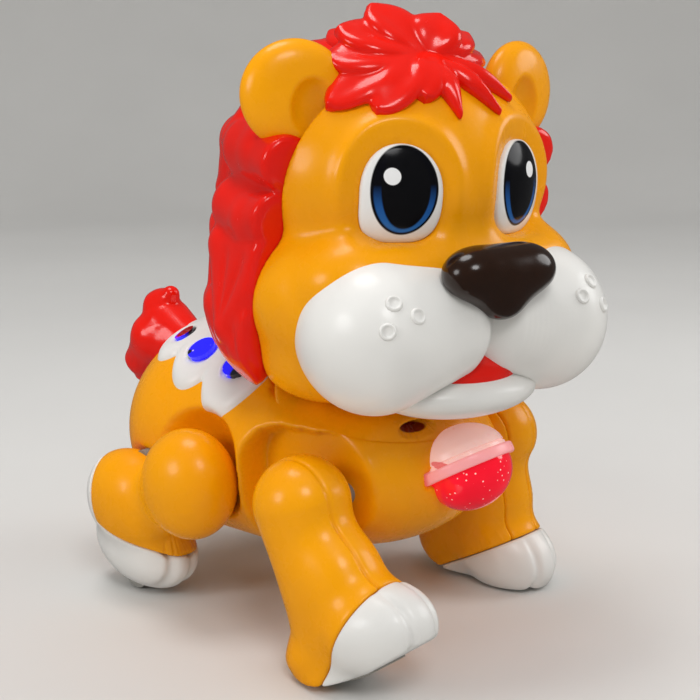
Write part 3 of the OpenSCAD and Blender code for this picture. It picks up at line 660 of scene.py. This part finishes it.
def jaw_form(p):
    d = ball((0, -38, EYE_LINE - 69), (32, 24, 10))(p)
    dish = ball((0, -48, EYE_LINE - 56), (24, 16, 7))(p)
    return soft_max(d, -dish, 1.5)


bm = press(jaw_form, (0, -38, EYE_LINE - 71), level=6, far=48)
to_object("lower_jaw_skin", bm, HEAD, "white", "head", ["lower_jaw"])
print("nose, mouth and jaw made")

# %% [markdown]
# ## Ears
# An ear is a fat rounded disc with an oval recess towards the head. An extruded circle with a bevel
# would come close, but pressed as clay its rim rolls over into the recess, as on the moulding.

# %% Ears
EAR_HALF = 7.6


def make_ear(s, side):
    disc = ball((0, 0, 0), (19, 9, 18.5))
    dish = ball((-s * 5, -9.5, -4.5), (8.5, 6.5, 11))

    def form(p):
        d = soft_max(disc(p), np.abs(p[:, 1]) - EAR_HALF, 3)
        return soft_max(d, -dish(p), 1.2)
    bm = press(form, (0, 1.5, 0), level=7, far=26)
    soften(bm, 1)
    place = Matrix.Translation((s * 36, -14, EYE_LINE + 32)) @ Matrix.Rotation(
        math.radians(18 * s), 4, "Z") @ Matrix.Translation((s * 12, 0, 0))
    bm.transform(place)
    to_object(f"{side}_ear_skin", bm, HEAD, "yellow", "head", [f"{side}_ear"])


for s, side in SIDES.items():
    make_ear(s, side)
print("ears made")

# %% [markdown]
# ## Mane
# The mane is one moulding whose relief is a layer of thick leaf-shaped tufts. Each tuft is a rounded
# triangle, given by its corners on the mane: an angle round the head from the back, a height and a
# thickness. Grooves run along each tuft to its tip, and where tufts meet a narrow crease stays,
# because hard creases read as carved hair.

# %% Mane tufts
MANE_Y, MANE_Z = 8, EYE_LINE - 8
MANE_OUT = 10
TUFTS = [
    [(117, 17, 9.5), (98, 20, 11.5), (80, 21, 12)], [(117, 0, 8.5), (96, -3, 10.5), (74, 0, 12)],
    [(113, -14, 8), (74, -14, 11), (86, -43, 6)], [(62, -8, 10), (48, -8, 10), (57, -40, 6)],
    [(105, -38, 7), (72, -36, 11), (97, -70, 6)], [(62, -36, 10), (46, -36, 10), (60, -62, 6)],
    [(64, 23, 10), (40, 27, 10), (50, 5, 6)], [(30, 31, 10), (6, 32, 10), (16, 7, 6)],
    [(46, -1, 10), (32, 1, 10), (40, -26, 6)], [(24, 2, 10), (0, 2, 10), (8, -24, 6)],
    [(44, -29, 10), (30, -27, 10), (36, -54, 6)], [(22, -27, 10), (0, -28, 10), (8, -54, 6)],
    [(84, 44, 8), (54, 47, 9), (72, 24, 6)], [(46, 49, 9), (8, 51, 9), (26, 27, 6)],
]


def on_mane(angle, up, radius):
    """The middle of a tuft's ball, further out over the jowls and where tufts curl by the seam."""
    rise = 1 - (up / 60) ** 2
    k = math.sqrt(max(rise, 0.97 if up < 0 else 0.0))
    curl = 7 * min(1, max(0, (abs(angle) - 100) / 17)) * min(1, max(0, (up + 24) / 24))
    out = 4 * min(1, max(0, (-4 - up) / 20)) + curl + MANE_OUT - radius
    a = math.radians(angle)
    return ((55 * k + out) * math.sin(a), MANE_Y + (49 * k + out) * math.cos(a), MANE_Z + up, radius)


def tuft(corners):
    """A rounded triangle over three (x, y, z, radius) corners, grooved towards the last one."""
    a, b, c = np.array(corners, float)
    middle = (a + b + c)[:3] / 3
    reach = max(np.linalg.norm(k[:3] - middle) + k[3] for k in (a, b, c)) + 12
    ab, ac = b[:3] - a[:3], c[:3] - a[:3]
    normal = np.cross(ab, ac)
    area = normal @ normal
    edges = lock([a, b, c, a])

    def distance(p):
        out = edges(p)
        close = np.linalg.norm(p - middle, axis=1) < reach
        q = p[close] - a[:3]
        wb = np.cross(q, ac) @ normal / area
        wc = np.cross(ab, q) @ normal / area
        wa = 1 - wb - wc
        over = (wa > 0) & (wb > 0) & (wc > 0)
        radius = wa * a[3] + wb * b[3] + wc * c[3]
        flat = np.abs(q @ normal) / math.sqrt(area) - radius
        best = np.where(over, np.minimum(flat, out[close]), out[close])
        across = wb / np.maximum(wa + wb, 0.05)
        fade = np.clip(wc * 4, 0, 1) * np.clip((wa + wb) * 3, 0, 1)
        for place, deep in ((0.3, 1.1), (0.68, 0.8)):
            best = best + deep * fade * np.exp(-((across - place) / 0.07) ** 2)
        out[close] = best
        return out
    return distance


def mane_tufts():
    tufts = []
    for s in SIDES:
        for corners in TUFTS:
            points = [on_mane(s * angle, up, r) for angle, up, r in corners]
            pointed = corners[2][1] < corners[0][1]
            tufts.append(tuft(points) if pointed else lock(points))
    return tufts


tufts = mane_tufts()
print(len(tufts), "tufts")

# %% Mane
MANE_LAP = 1.2
MANE_WALL = 2.2
NARROW_FROM = 114
mane_base = ball((0, MANE_Y, MANE_Z), (59, 53.5, 58))
mane_jowl = ball(JOWL_AT, np.add(JOWL_R, MANE_LAP))


def mane_core(p):
    return soft_min(mane_base(p), mane_jowl(p), 5)


def mane_form(p):
    """The core with its tufts, narrower below, cut free of the neck, at its lower edge and at the seam."""
    d = mane_core(p)
    for each in tufts:
        d = soft_min(d, each(p), 1.0)
    low = np.maximum(NARROW_FROM - p[:, 2], 0)
    high = np.maximum(p[:, 2] - NARROW_FROM, 0)
    limit = 1.02 + 0.01 * high - 0.005 * low - 0.00034 * low ** 2
    d = soft_max(d, (np.hypot(p[:, 0] / 66, (p[:, 1] - MANE_Y) / 60) - limit) * 60, 3)
    neck = np.maximum(np.hypot(p[:, 0], p[:, 1]) - 48, p[:, 2] - 101)
    d = soft_max(d, -neck, 1.5)
    d = soft_max(d, 91 + 0.45 * p[:, 1] - p[:, 2], 2)
    return soft_max(d, SEAM_GAP - behind(p), 3)


bm = press(mane_form, (0, 20, 150), level=7, far=92, near=6, steps=44)
soften(bm, 1)
open_shell(bm, lambda p: ((behind(p) < 1.2) & (mane_core(p) < -7)) | neck_hole(p), MANE_WALL)
mane = to_object("mane_skin", bm, HEAD, "red", "head", ["mane_shell"])
print("mane", len(mane.data.polygons), "faces")

# %% [markdown]
# ## Forelock
# The forelock is a burst of petals from one root on the forehead. A petal is a flat leaf that arches
# over the skull: its upper edge is a rolled rim and its face is cupped. The spikes on the forehead
# have no cup and end in a point. All of them are pressed as one skin from the root outwards.

# %% Forelock
LEAF_RISE = 1.2
ROOT = np.array((-4, -24, 212.0))
PETALS = [((-3, -42, 192), 6, 0), ((14, -39, 192), 5, 0), ((23, -33, 196), 5, 0), ((6, -18, 226), 10, 1.6),
          ((19, -17, 219), 8, 1.4), ((27, -13, 212), 9, 1.4), ((-17, -8, 229), 10, 1.8),
          ((-31, -10, 221), 10.5, 1.8), ((-38, -15, 211), 10.5, 1.8), ((-42, -22, 196), 9.5, 1.5),
          ((-30, -34, 194), 8.5, 1.5), ((-14, -38, 198), 7, 0.8), ((0, 12, 226), 11, 1.4),
          ((22, 10, 219), 11, 1.4), ((-22, 10, 220), 11, 1.4)]


def leaf(tip, width, cup):
    """A petal from the root to its tip, lifted clear of the skull and arched over it."""
    tip = np.array(tip, float)
    for _ in range(8):
        sunk = LEAF_RISE - skull(tip[None])[0]
        outward = tip - SKULL_AT
        tip = tip + max(sunk, 0) * outward / np.linalg.norm(outward)
    along = tip - ROOT
    length = np.linalg.norm(along)
    along /= length
    out = (ROOT + tip) / 2 - np.add(SKULL_AT, (0, 0, 6))
    out -= along * (out @ along)
    out /= np.linalg.norm(out)
    across = np.cross(along, out)
    across *= 1 if across @ np.array((0, -0.4, -1)) > 0 else -1
    stops = np.array((0.3, 0.5, 0.75))
    depth = skull(ROOT + stops[:, None] * length * along)
    arch = max(2.0, float(np.max((LEAF_RISE - depth) / np.sin(np.pi * stops))))
    thick = 4.2 if cup else 3.6

    def distance(p):
        q = p - ROOT
        t = q @ along / length
        u = np.clip(t, 0.0, 1.0)
        swell = 0.4 + 0.6 * np.sin(np.pi / 2 * np.minimum(u / 0.55, 1))
        tail = np.clip((u - 0.55) / 0.45, 0, 1)
        close = np.sqrt(np.maximum(1 - tail * tail, 0.01)) if cup else 1 - 0.85 * tail
        wide = width * swell * close
        bulge = thick * (0.5 + 0.5 * np.sin(np.pi * np.minimum(u, 0.92)))
        a = q @ across / wide
        n = (q @ out - arch * np.sin(np.pi * u)) / bulge
        beyond = np.maximum(np.abs(t - 0.5) - 0.5, 0) * length
        hollow = cup * np.exp(-((a - 0.15) / 0.45) ** 2) * np.sin(np.pi * u) * (n > 0)
        crest = 0.25 * np.abs(a) if not cup else 0
        return (np.sqrt(a * a + n * n) - 1 + crest) * np.minimum(wide, bulge) + beyond + hollow
    return distance


leaves = [leaf(*petal) for petal in PETALS]
knot = ball(ROOT - (0, 0, 4), (9, 9, 6))
bm = press(blend(leaves + [knot], 0.8), ROOT - (0, 0, 1), level=7, far=58, near=1, steps=70)
soften(bm, 1)
to_object("forelock_skin", bm, HEAD, "red", "head", ["forelock"])
print("forelock of", len(leaves), "petals made")

# %% [markdown]
# ## Body
# The body is a convex skin drawn over chest, belly and rump, so its form is the union of the balls
# between them. Pockets for the legs, the seat of the lamp, the bed of the belly plate and the collar's
# seam are carved from it in the same way, with a small radius on every edge, as a mould leaves it.

# %% Body skin
torso_form = drawn_between([((0, 6, 62), (54, 40, 31)), ((0, 40, 62), (52, 46, 42)),
                            ((0, 82, 62), (50, 46, 45))])
WAIST_X, CAVITY_X, BELLY_Z = 37.5, 35.1, 30
SHELL_WALL = 2.4
HIP = Vector((0, 86, 56))
HIND_TRAVEL = 8
HIND_CLEAR = 1.5
HIND_BALLS = [((56, 54, 58), (16.5, 20.5, 21.5)), ((54, 88, 38.5), (15, 24, 20.5)),
              ((48, 86, 19), (15, 27, 17.5))]


def hind_mass(p, s, grow=0):
    """Thigh, calf and foot of a hind leg blended together."""
    thigh, calf, foot = [ball((s * x, y, z), np.add(radii, grow)) for (x, y, z), radii in HIND_BALLS]
    return soft_min(soft_min(thigh(p), calf(p), 10), foot(p), 4)


def about_hip(degrees):
    turn = Matrix.Rotation(math.radians(degrees), 4, "X")
    return Matrix.Translation(HIP) @ turn @ Matrix.Translation(-HIP)


def in_place(p, place):
    """Points seen from a placed frame."""
    back = np.array(place.inverted())
    return p @ back[:3, :3].T + back[:3, 3]


def hind_room(p, s):
    """The room that a hind leg needs from one end of its swing to the other."""
    d = np.full(len(p), 1e3)
    for degrees in (-HIND_TRAVEL, 0, HIND_TRAVEL):
        d = np.minimum(d, hind_mass(in_place(p, about_hip(degrees)), s, HIND_CLEAR))
    return np.maximum(d, WAIST_X - s * p[:, 0])


COLLAR_R, LAMP_R = 46, 19
COLLAR = Matrix.Translation((0, 0, 84)) @ Matrix.Rotation(math.radians(11), 4, "X")
LAMP = Matrix.Translation((0, -35, 67)) @ Matrix.Rotation(math.radians(-31), 4, "X")


def collar_room(p, low=0.0):
    q = in_place(p, COLLAR)
    return np.maximum(np.hypot(q[:, 0], q[:, 1]) - COLLAR_R, low - q[:, 2])


def lamp_room(p):
    q = in_place(p, LAMP)
    return np.maximum(np.hypot(q[:, 0], q[:, 1]) - LAMP_R, np.abs(q[:, 2]) - 2.4)


def front_room(p):
    """The arch over the front legs, with one rounded corner in side view."""
    y, z = p[:, 1] - 16, p[:, 2] - 66
    arch = np.where((y > 0) & (z > 0), np.hypot(y, z), np.maximum(y, z)) - 15
    return np.maximum(arch, WAIST_X - np.abs(p[:, 0]))


def body_form(p):
    skin = torso_form(p)
    bed = np.maximum(np.maximum(skin + SHELL_WALL, np.abs(p[:, 0]) - CAVITY_X), p[:, 2] - BELLY_Z - 6)
    d = soft_max(skin, BELLY_Z - p[:, 2], 1.5)
    d = soft_max(d, -collar_room(p), 0.8)
    d = soft_max(d, -front_room(p), 1.4)
    for s in SIDES:
        d = soft_max(d, -hind_room(p, s), 1.6)
    d = soft_max(d, -lamp_room(p), 0.6)
    return soft_max(d, -bed, 0.6)


bm = press(body_form, (0, 44, 62), level=7, far=112, near=4, steps=110, stretch=(1, 1.6, 0.85))
soften(bm, 1)
body = to_object("body_shell_skin", bm, NECK, "yellow", "torso", ["body_shell"])
print("body", len(body.data.polygons), "faces")

# %% [markdown]
# ## Neck collar
# A yellow ring with a thin lip closes the body round the neck and carries the post that the head turns
# on. It is pressed over the same skin as the body, and cut off flat below, because its lip has to be
# crisp where the body's edge is round.

# %% Neck collar
COLLAR_LIP = Vector((0, 0, -0.8))


def collar_form(p):
    d = soft_max(torso_form(p) - 0.5, collar_room(p, -4) + 0.4, 0.8)
    scoop = ball((-13.8, -22.8, 81.8), (8, 5, 2.5))(p)
    d = soft_max(d, -scoop, 0.9)
    radius = np.hypot(p[:, 0], p[:, 1])
    hub = np.maximum(radius - 17, p[:, 2] - 99)
    post = np.maximum(radius - 12, p[:, 2] - 112)
    stem = np.maximum(np.minimum(hub, post), 86 - p[:, 2])
    return np.minimum(soft_max(d, -lamp_room(p), 0.6), stem)


bm = press(collar_form, (0, 2, 88), level=7, far=52, near=2, steps=60)
bmesh.ops.bisect_plane(bm, geom=bm.verts[:] + bm.edges[:] + bm.faces[:], clear_inner=True,
                       plane_co=COLLAR @ COLLAR_LIP, plane_no=COLLAR.to_3x3() @ Vector((0, 0, 1)))
bmesh.ops.triangle_fill(bm, edges=[edge for edge in bm.edges if edge.is_boundary], use_beauty=True)
bmesh.ops.recalc_face_normals(bm, faces=bm.faces)
to_object("neck_collar_skin", bm, NECK, "collar", "torso", ["neck_collar"], sharp=75)
print("collar made")

# %% [markdown]
# ## Back panel
# The white panel is a cover on the back with three scalloped lobes down each side. It stands off the
# body, its edges are pillowed, and each lobe has a round well for its window. A cut-out of the body's
# own mesh would have ragged edges, so the panel is pressed over the same form, a little larger.

# %% Back panel
PANEL_RISE = 2.2
LOBES = [(32, 50, 15.5), (30, 73, 13), (24, 92, 11)]
WINDOWS = [((32, 50, 95.5), 33, 0, 6.5), ((30, 73, 98.1), 33, 4, 6), ((23, 91, 100.6), 26, 18, 4.5)]


def window_place(s, place, lean, back):
    turn = Matrix.Rotation(math.radians(s * lean), 4, "Y") @ Matrix.Rotation(math.radians(-back), 4, "X")
    return Matrix.Translation((s * place[0], place[1], place[2])) @ turn


def panel_form(p):
    outline = np.maximum(np.abs(p[:, 0]) - 26, np.abs(p[:, 1] - 73) - 27)
    outline = np.minimum(outline, np.hypot(p[:, 0], p[:, 1] - 95) - 16)
    for x, y, radius in LOBES:
        outline = soft_min(outline, np.hypot(np.abs(p[:, 0]) - x, p[:, 1] - y) - radius, 1.0)
    d = soft_max(torso_form(p) - PANEL_RISE, outline, 3.0)
    d = soft_max(d, 78 + 0.5 * np.maximum(0, 35 - np.abs(p[:, 0])) - p[:, 2], 1)
    d = soft_max(d, -collar_room(p) - 0.4, 1.2)
    for s in SIDES:
        d = soft_max(d, -hind_room(p, s), 1.6)
        for place, lean, back, radius in WINDOWS:
            q = in_place(p, window_place(s, place, lean, back))
            well = np.maximum(np.hypot(q[:, 0], q[:, 1]) - radius - 0.3, -0.6 - q[:, 2])
            d = soft_max(d, -well, 1.6)
    return d


bm = press(panel_form, (0, 74, 96.5), level=7, far=62, near=1, steps=80)
soften(bm, 1)
panel = to_object("back_panel_skin", bm, NECK, "white", "torso", ["back_panel"])
print("panel", len(panel.data.polygons), "faces")

# %% [markdown]
# ## Tail
# The tail is a lobed red tuft with a curled tip. Three tapering locks from one root are blended, because
# the creases between lobes then come by themselves, as in the mane.

# %% Tail
tail_locks = [
    lock([(0, 112, 88, 9), (0, 131, 97, 12), (0, 134, 105, 8), (0, 128, 111, 4)]),
    lock([(0, 114, 88, 9), (-4, 134, 92, 11), (-3, 146, 80, 7), (-1, 149, 72, 3)]),
    lock([(0, 114, 88, 9), (4, 134, 92, 11), (4, 144, 82, 7), (2, 146, 75, 3)]),
]
bm = press(blend(tail_locks, 1.2), (0, 131, 92), level=6, far=34, near=2)
soften(bm, 1)
to_object("tail_skin", bm, NECK, "red", "torso", ["tail"])
print("tail made")

# %% [markdown]
# ## Chest lamp
# The lamp is a turned form: a pale pink cap, a flat flange and a red lens. Each is spun from its outline,
# which gives crisp round edges that a pressed form wouldn't have.

# %% Lamp
LAMP_FOOT = 2.05


def spun(name, outline, slot, nodes):
    bm = turned(outline, 96)
    bm.transform(LAMP)
    return to_object(name, bm, NECK, slot, "torso", nodes, sharp=50)


def dome(radius, height, steps=16):
    """The outline of a dome that stands on the lamp's foot, from its rim to its top."""
    turns = [math.pi / 2 * k / steps for k in range(steps + 1)]
    return [(radius * math.cos(a), LAMP_FOOT + height * math.sin(a)) for a in turns]


cap_rim = [(0, LAMP_FOOT), (16.5, LAMP_FOOT), (16.4, 3.2), (15.8, 3.5), (16.2, 4.0)]
flange_edge = [(17.9, -2), (18.35, -1.6), (18.5, -1), (18.5, 1), (18.35, 1.6), (17.9, 2)]
lens_wall = dome(16.3, 14.5) + dome(14.1, 12.3)[::-1] + [(16.3, LAMP_FOOT)]
spun("lamp_cap_skin", cap_rim + dome(16.5, 13)[3:], "lamp_cap", ["lamp_cap"])
spun("lamp_ring_skin", [(8.9, -2)] + flange_edge + [(8.9, 2), (8.9, -2)], "lamp_rim", ["lamp_ring"])
spun("lamp_lens_skin", [(r, -h) for r, h in lens_wall], "red_lens", ["lamp_lens"])
print("lamp made")

# %% [markdown]
# ## Front legs
# A front leg is two moulded halves, a white toe cap and a pad. The halves and the cap share one form,
# a rounded post blended with a foot, and each keeps its own side of the parting planes. Cutting one
# form keeps the skin flush across the joins, which three separate shapes would not.

# %% Front legs
SHOULDER = Vector((0, -10, 60))
FRONT_SWING = 18
LEG_X, LEG_IN, LEG_SEAM, LEG_LINE = 56.5, 39, 47, 60
POST_Y = 3.5
SOLE, SOLE_SLOPE = 59.4, math.radians(20)
PART_GAP = 0.12


def post(p, s):
    """The upright of a front leg, slimmest above the ankle, with a ball on top."""
    z = p[:, 2]
    narrow = 14 + 3.5 * np.maximum(0, (z + 36) / 37) ** 1.5 + 2 * np.maximum(0, (-36 - z) / 26) ** 1.5
    side = np.hypot(p[:, 0] - s * LEG_X, p[:, 1] - POST_Y)
    over = np.linalg.norm(p - np.array((s * LEG_X, POST_Y, 1)), axis=1) - 17.5
    return np.where(z > 1, over, side - narrow)


def front_form(p, s):
    """Post, foot, instep and heel blended, over a sole that is round about the shoulder."""
    foot = ball((s * LEG_X, -17, -43.5), (18, 24.5, 16.5))
    instep = ball((s * LEG_X, -6, -26), (15.5, 16, 18))
    heel = ball((s * LEG_X, 9, -51), (15.5, 13, 11))
    d = post(p, s)
    for part, k in ((foot, 7), (instep, 8), (heel, 3)):
        d = soft_min(d, part(p), k)
    sole = np.hypot(p[:, 1], p[:, 2]) - SOLE
    for way in (-1, 1):
        edge = way * p[:, 1] * math.sin(SOLE_SLOPE) - p[:, 2] * math.cos(SOLE_SLOPE) - SOLE
        beyond = way * p[:, 1] * math.cos(SOLE_SLOPE) + p[:, 2] * math.sin(SOLE_SLOPE) > 0
        sole = np.where(beyond, np.minimum(sole, edge), sole)
    d = soft_max(d, sole, 1)
    return soft_max(d, LEG_IN - s * p[:, 0], 1.5)


def paw_line(p):
    """Distance behind the sloping plane where leg and paw part."""
    return ((p[:, 1] - 1) * 28 + (p[:, 2] + 60) * 26) / math.hypot(28, 26)


def front_pose(s):
    return Matrix.Translation(SHOULDER) @ Matrix.Rotation(math.radians(s * FRONT_SWING), 4, "X")


def make_front_leg(s, side):
    body_name = f"{side}_front_leg"

    def outer(p):
        d = soft_max(front_form(p, s), PART_GAP - paw_line(p), 0.8)
        d = d + 0.8 * np.exp(-((s * p[:, 0] - LEG_LINE) / 0.55) ** 2)
        return soft_max(d, LEG_SEAM + SEAM_GAP - s * p[:, 0], 0.5)

    def inner(p):
        d = soft_max(front_form(p, s), PART_GAP - paw_line(p), 0.8)
        return soft_max(d, s * p[:, 0] - LEG_SEAM + SEAM_GAP, 0.5)

    def paw(p):
        d = soft_max(front_form(p, s), paw_line(p) + PART_GAP, 1.2)
        front = 1 / (1 + np.exp((p[:, 1] + 30) / 2.0))
        for offset in (-6, 6):
            d = d + 1.1 * front * np.exp(-((p[:, 0] - s * LEG_X - offset) / 1.5) ** 2)
        return d
    for name, form, centre, slot in (
            ("leg_outer", outer, (s * 57, 3, -22), "yellow"),
            ("leg_inner", inner, (s * 43, 3, -22), "yellow"),
            ("paw", paw, (s * 56, -24, -46), "white")):
        bm = press(form, centre, level=7, far=62, near=0.5, steps=60)
        soften(bm, 1)
        bm.transform(front_pose(s))
        to_object(f"{side}_front_{name}_skin", bm, NECK, slot, body_name, [f"{side}_front_{name}"])


for s, side in SIDES.items():
    make_front_leg(s, side)
print("front legs made")

# %% [markdown]
# ## Hind legs
# A hind leg is a thigh and a calf blended together over a white shoe, with a roller in the sole. The
# body's pockets were cut with the same blend, so leg and pocket always fit. The toes are shallow
# grooves that fade out behind.

# %% Hind legs
HIND_SWING = 7.368
HIND_REACH = 55.4
TOE_GROOVES = (46.5, 54.5)
SHOE = [(20, 29), (62, 23), (96, 29), (106, 60)]


def above_shoe(p):
    """Height over the shoe's edge, a line that bends up towards the heel."""
    d = np.full(len(p), 1e3)
    for (y0, z0), (y1, z1) in zip(SHOE[:-1], SHOE[1:]):
        length = math.hypot(y1 - y0, z1 - z0)
        side = ((p[:, 2] - z0) * (y1 - y0) - (p[:, 1] - y0) * (z1 - z0)) / length
        d = np.minimum(d, side)
    return d


def hind_form(p, s):
    d = soft_max(hind_mass(p, s), np.hypot(p[:, 1] - HIP.y, p[:, 2] - HIP.z) - HIND_REACH, 2)
    return soft_max(d, LEG_IN - s * p[:, 0], 1.5)


def make_hind_leg(s, side):
    def leg(p):
        return soft_max(hind_form(p, s), PART_GAP - above_shoe(p), 0.8)

    def paw(p):
        d = soft_max(hind_form(p, s), above_shoe(p) + PART_GAP, 1.2)
        front = 1 / (1 + np.exp((p[:, 1] - 70) / 2.0))
        for toe in TOE_GROOVES:
            d = d + 1.5 * front * np.exp(-((p[:, 0] - s * toe) / 1.6) ** 2)
        return d
    for name, form, centre, slot in (("leg", leg, (s * 54, 72, 46), "yellow"),
                                     ("paw", paw, (s * 48, 88, 14), "white")):
        bm = press(form, centre, level=7, far=62, near=0.5, steps=60)
        soften(bm, 1)
        bm.transform(about_hip(-s * HIND_SWING))
        to_object(f"{side}_hind_{name}_skin", bm, NECK, slot, f"{side}_hind_leg", [f"{side}_hind_{name}"])


for s, side in SIDES.items():
    make_hind_leg(s, side)
print("hind legs made")

# %% [markdown]
# ## Finishes for the CAD nodes that stay
# Pieces inside the toy and small turned pieces are right as they are, and only get their finish.

# %% Finishes of carried-over nodes
for row in frame["record"]["subparts"]:
    node = frame["nodes"][row["node"]]
    slot_name = row["material_slot"]
    if slot_name in finish:
        node.data.materials.clear()
        node.data.materials.append(finish[slot_name])
print(len(made), "pieces made")

# %% [markdown]
# ## Floor and light
# A plain pale floor that sweeps up in a round bowl far behind the toy gives a seamless backdrop from
# every side. Large soft lamps, as in a studio, keep the colours as they are written. The pale room is
# kept out of the gloss, so that only the lamps show in it and the colours stay full.

# %% Floor and lamps
FLOOR_FLAT, FLOOR_BEND, FLOOR_TOP = 1.3, 0.8, 2.4
bends = [math.radians(a) for a in range(0, 91, 5)]
sweep = [(0, 0), (FLOOR_FLAT / 2, 0)]
sweep += [(FLOOR_FLAT + FLOOR_BEND * math.sin(a), FLOOR_BEND * (1 - math.cos(a))) for a in bends]
sweep += [(FLOOR_FLAT + FLOOR_BEND, FLOOR_TOP)]
bm = turned(sweep, 96, merge=1e-5)
for face in bm.faces:
    face.smooth = True
floor_mesh = bpy.data.meshes.new("studio_floor")
bm.to_mesh(floor_mesh)
bm.free()
floor = bpy.data.objects.new("studio_floor", floor_mesh)
scene.collection.objects.link(floor)
floor_material, floor_tree, floor_shader = new_material("pale_floor")
floor_cloud = noise(floor_tree, 3, 3)
floor_stops = [(0.3, (0.66, 0.65, 0.63)), (0.7, (0.7, 0.69, 0.67))]
ramp(floor_tree, floor_cloud, floor_stops, floor_shader.inputs["Base Color"])
floor_shader.inputs["Roughness"].default_value = 0.8
floor_shader.inputs["Specular IOR Level"].default_value = 0.1
floor_mesh.materials.append(floor_material)
floor.visible_glossy = False

world = bpy.data.worlds.new("studio")
scene.world = world
world.use_nodes = True
world.node_tree.nodes["Background"].inputs["Color"].default_value = (0.93, 0.94, 0.95, 1)
path = world.node_tree.nodes.new("ShaderNodeLightPath")
dim = world.node_tree.nodes.new("ShaderNodeMapRange")
dim.inputs["To Min"].default_value = 0.74
dim.inputs["To Max"].default_value = 0.12
world.node_tree.links.new(path.outputs["Is Glossy Ray"], dim.inputs["Value"])
world.node_tree.links.new(dim.outputs["Result"], world.node_tree.nodes["Background"].inputs["Strength"])


def soft_lamp(name, place, aim, size, power):
    data = bpy.data.lights.new(name, "AREA")
    data.shape = "DISK"
    data.size = size
    data.energy = power
    lamp = bpy.data.objects.new(name, data)
    lamp.location = place
    lamp.rotation_euler = (Vector(aim) - Vector(place)).to_track_quat("-Z", "Y").to_euler()
    scene.collection.objects.link(lamp)


soft_lamp("key_lamp", (-0.55, -0.75, 1.0), (0, -0.03, 0.12), 0.4, 3.9)
soft_lamp("fill_lamp", (0.8, -0.6, 0.6), (0, 0, 0.12), 0.6, 3.4)
soft_lamp("top_lamp", (-0.1, 0.25, 1.2), (0, 0, 0.1), 0.5, 4)
soft_lamp("side_lamp", (-1.0, 0.3, 0.5), (0, 0, 0.1), 0.4, 2.6)
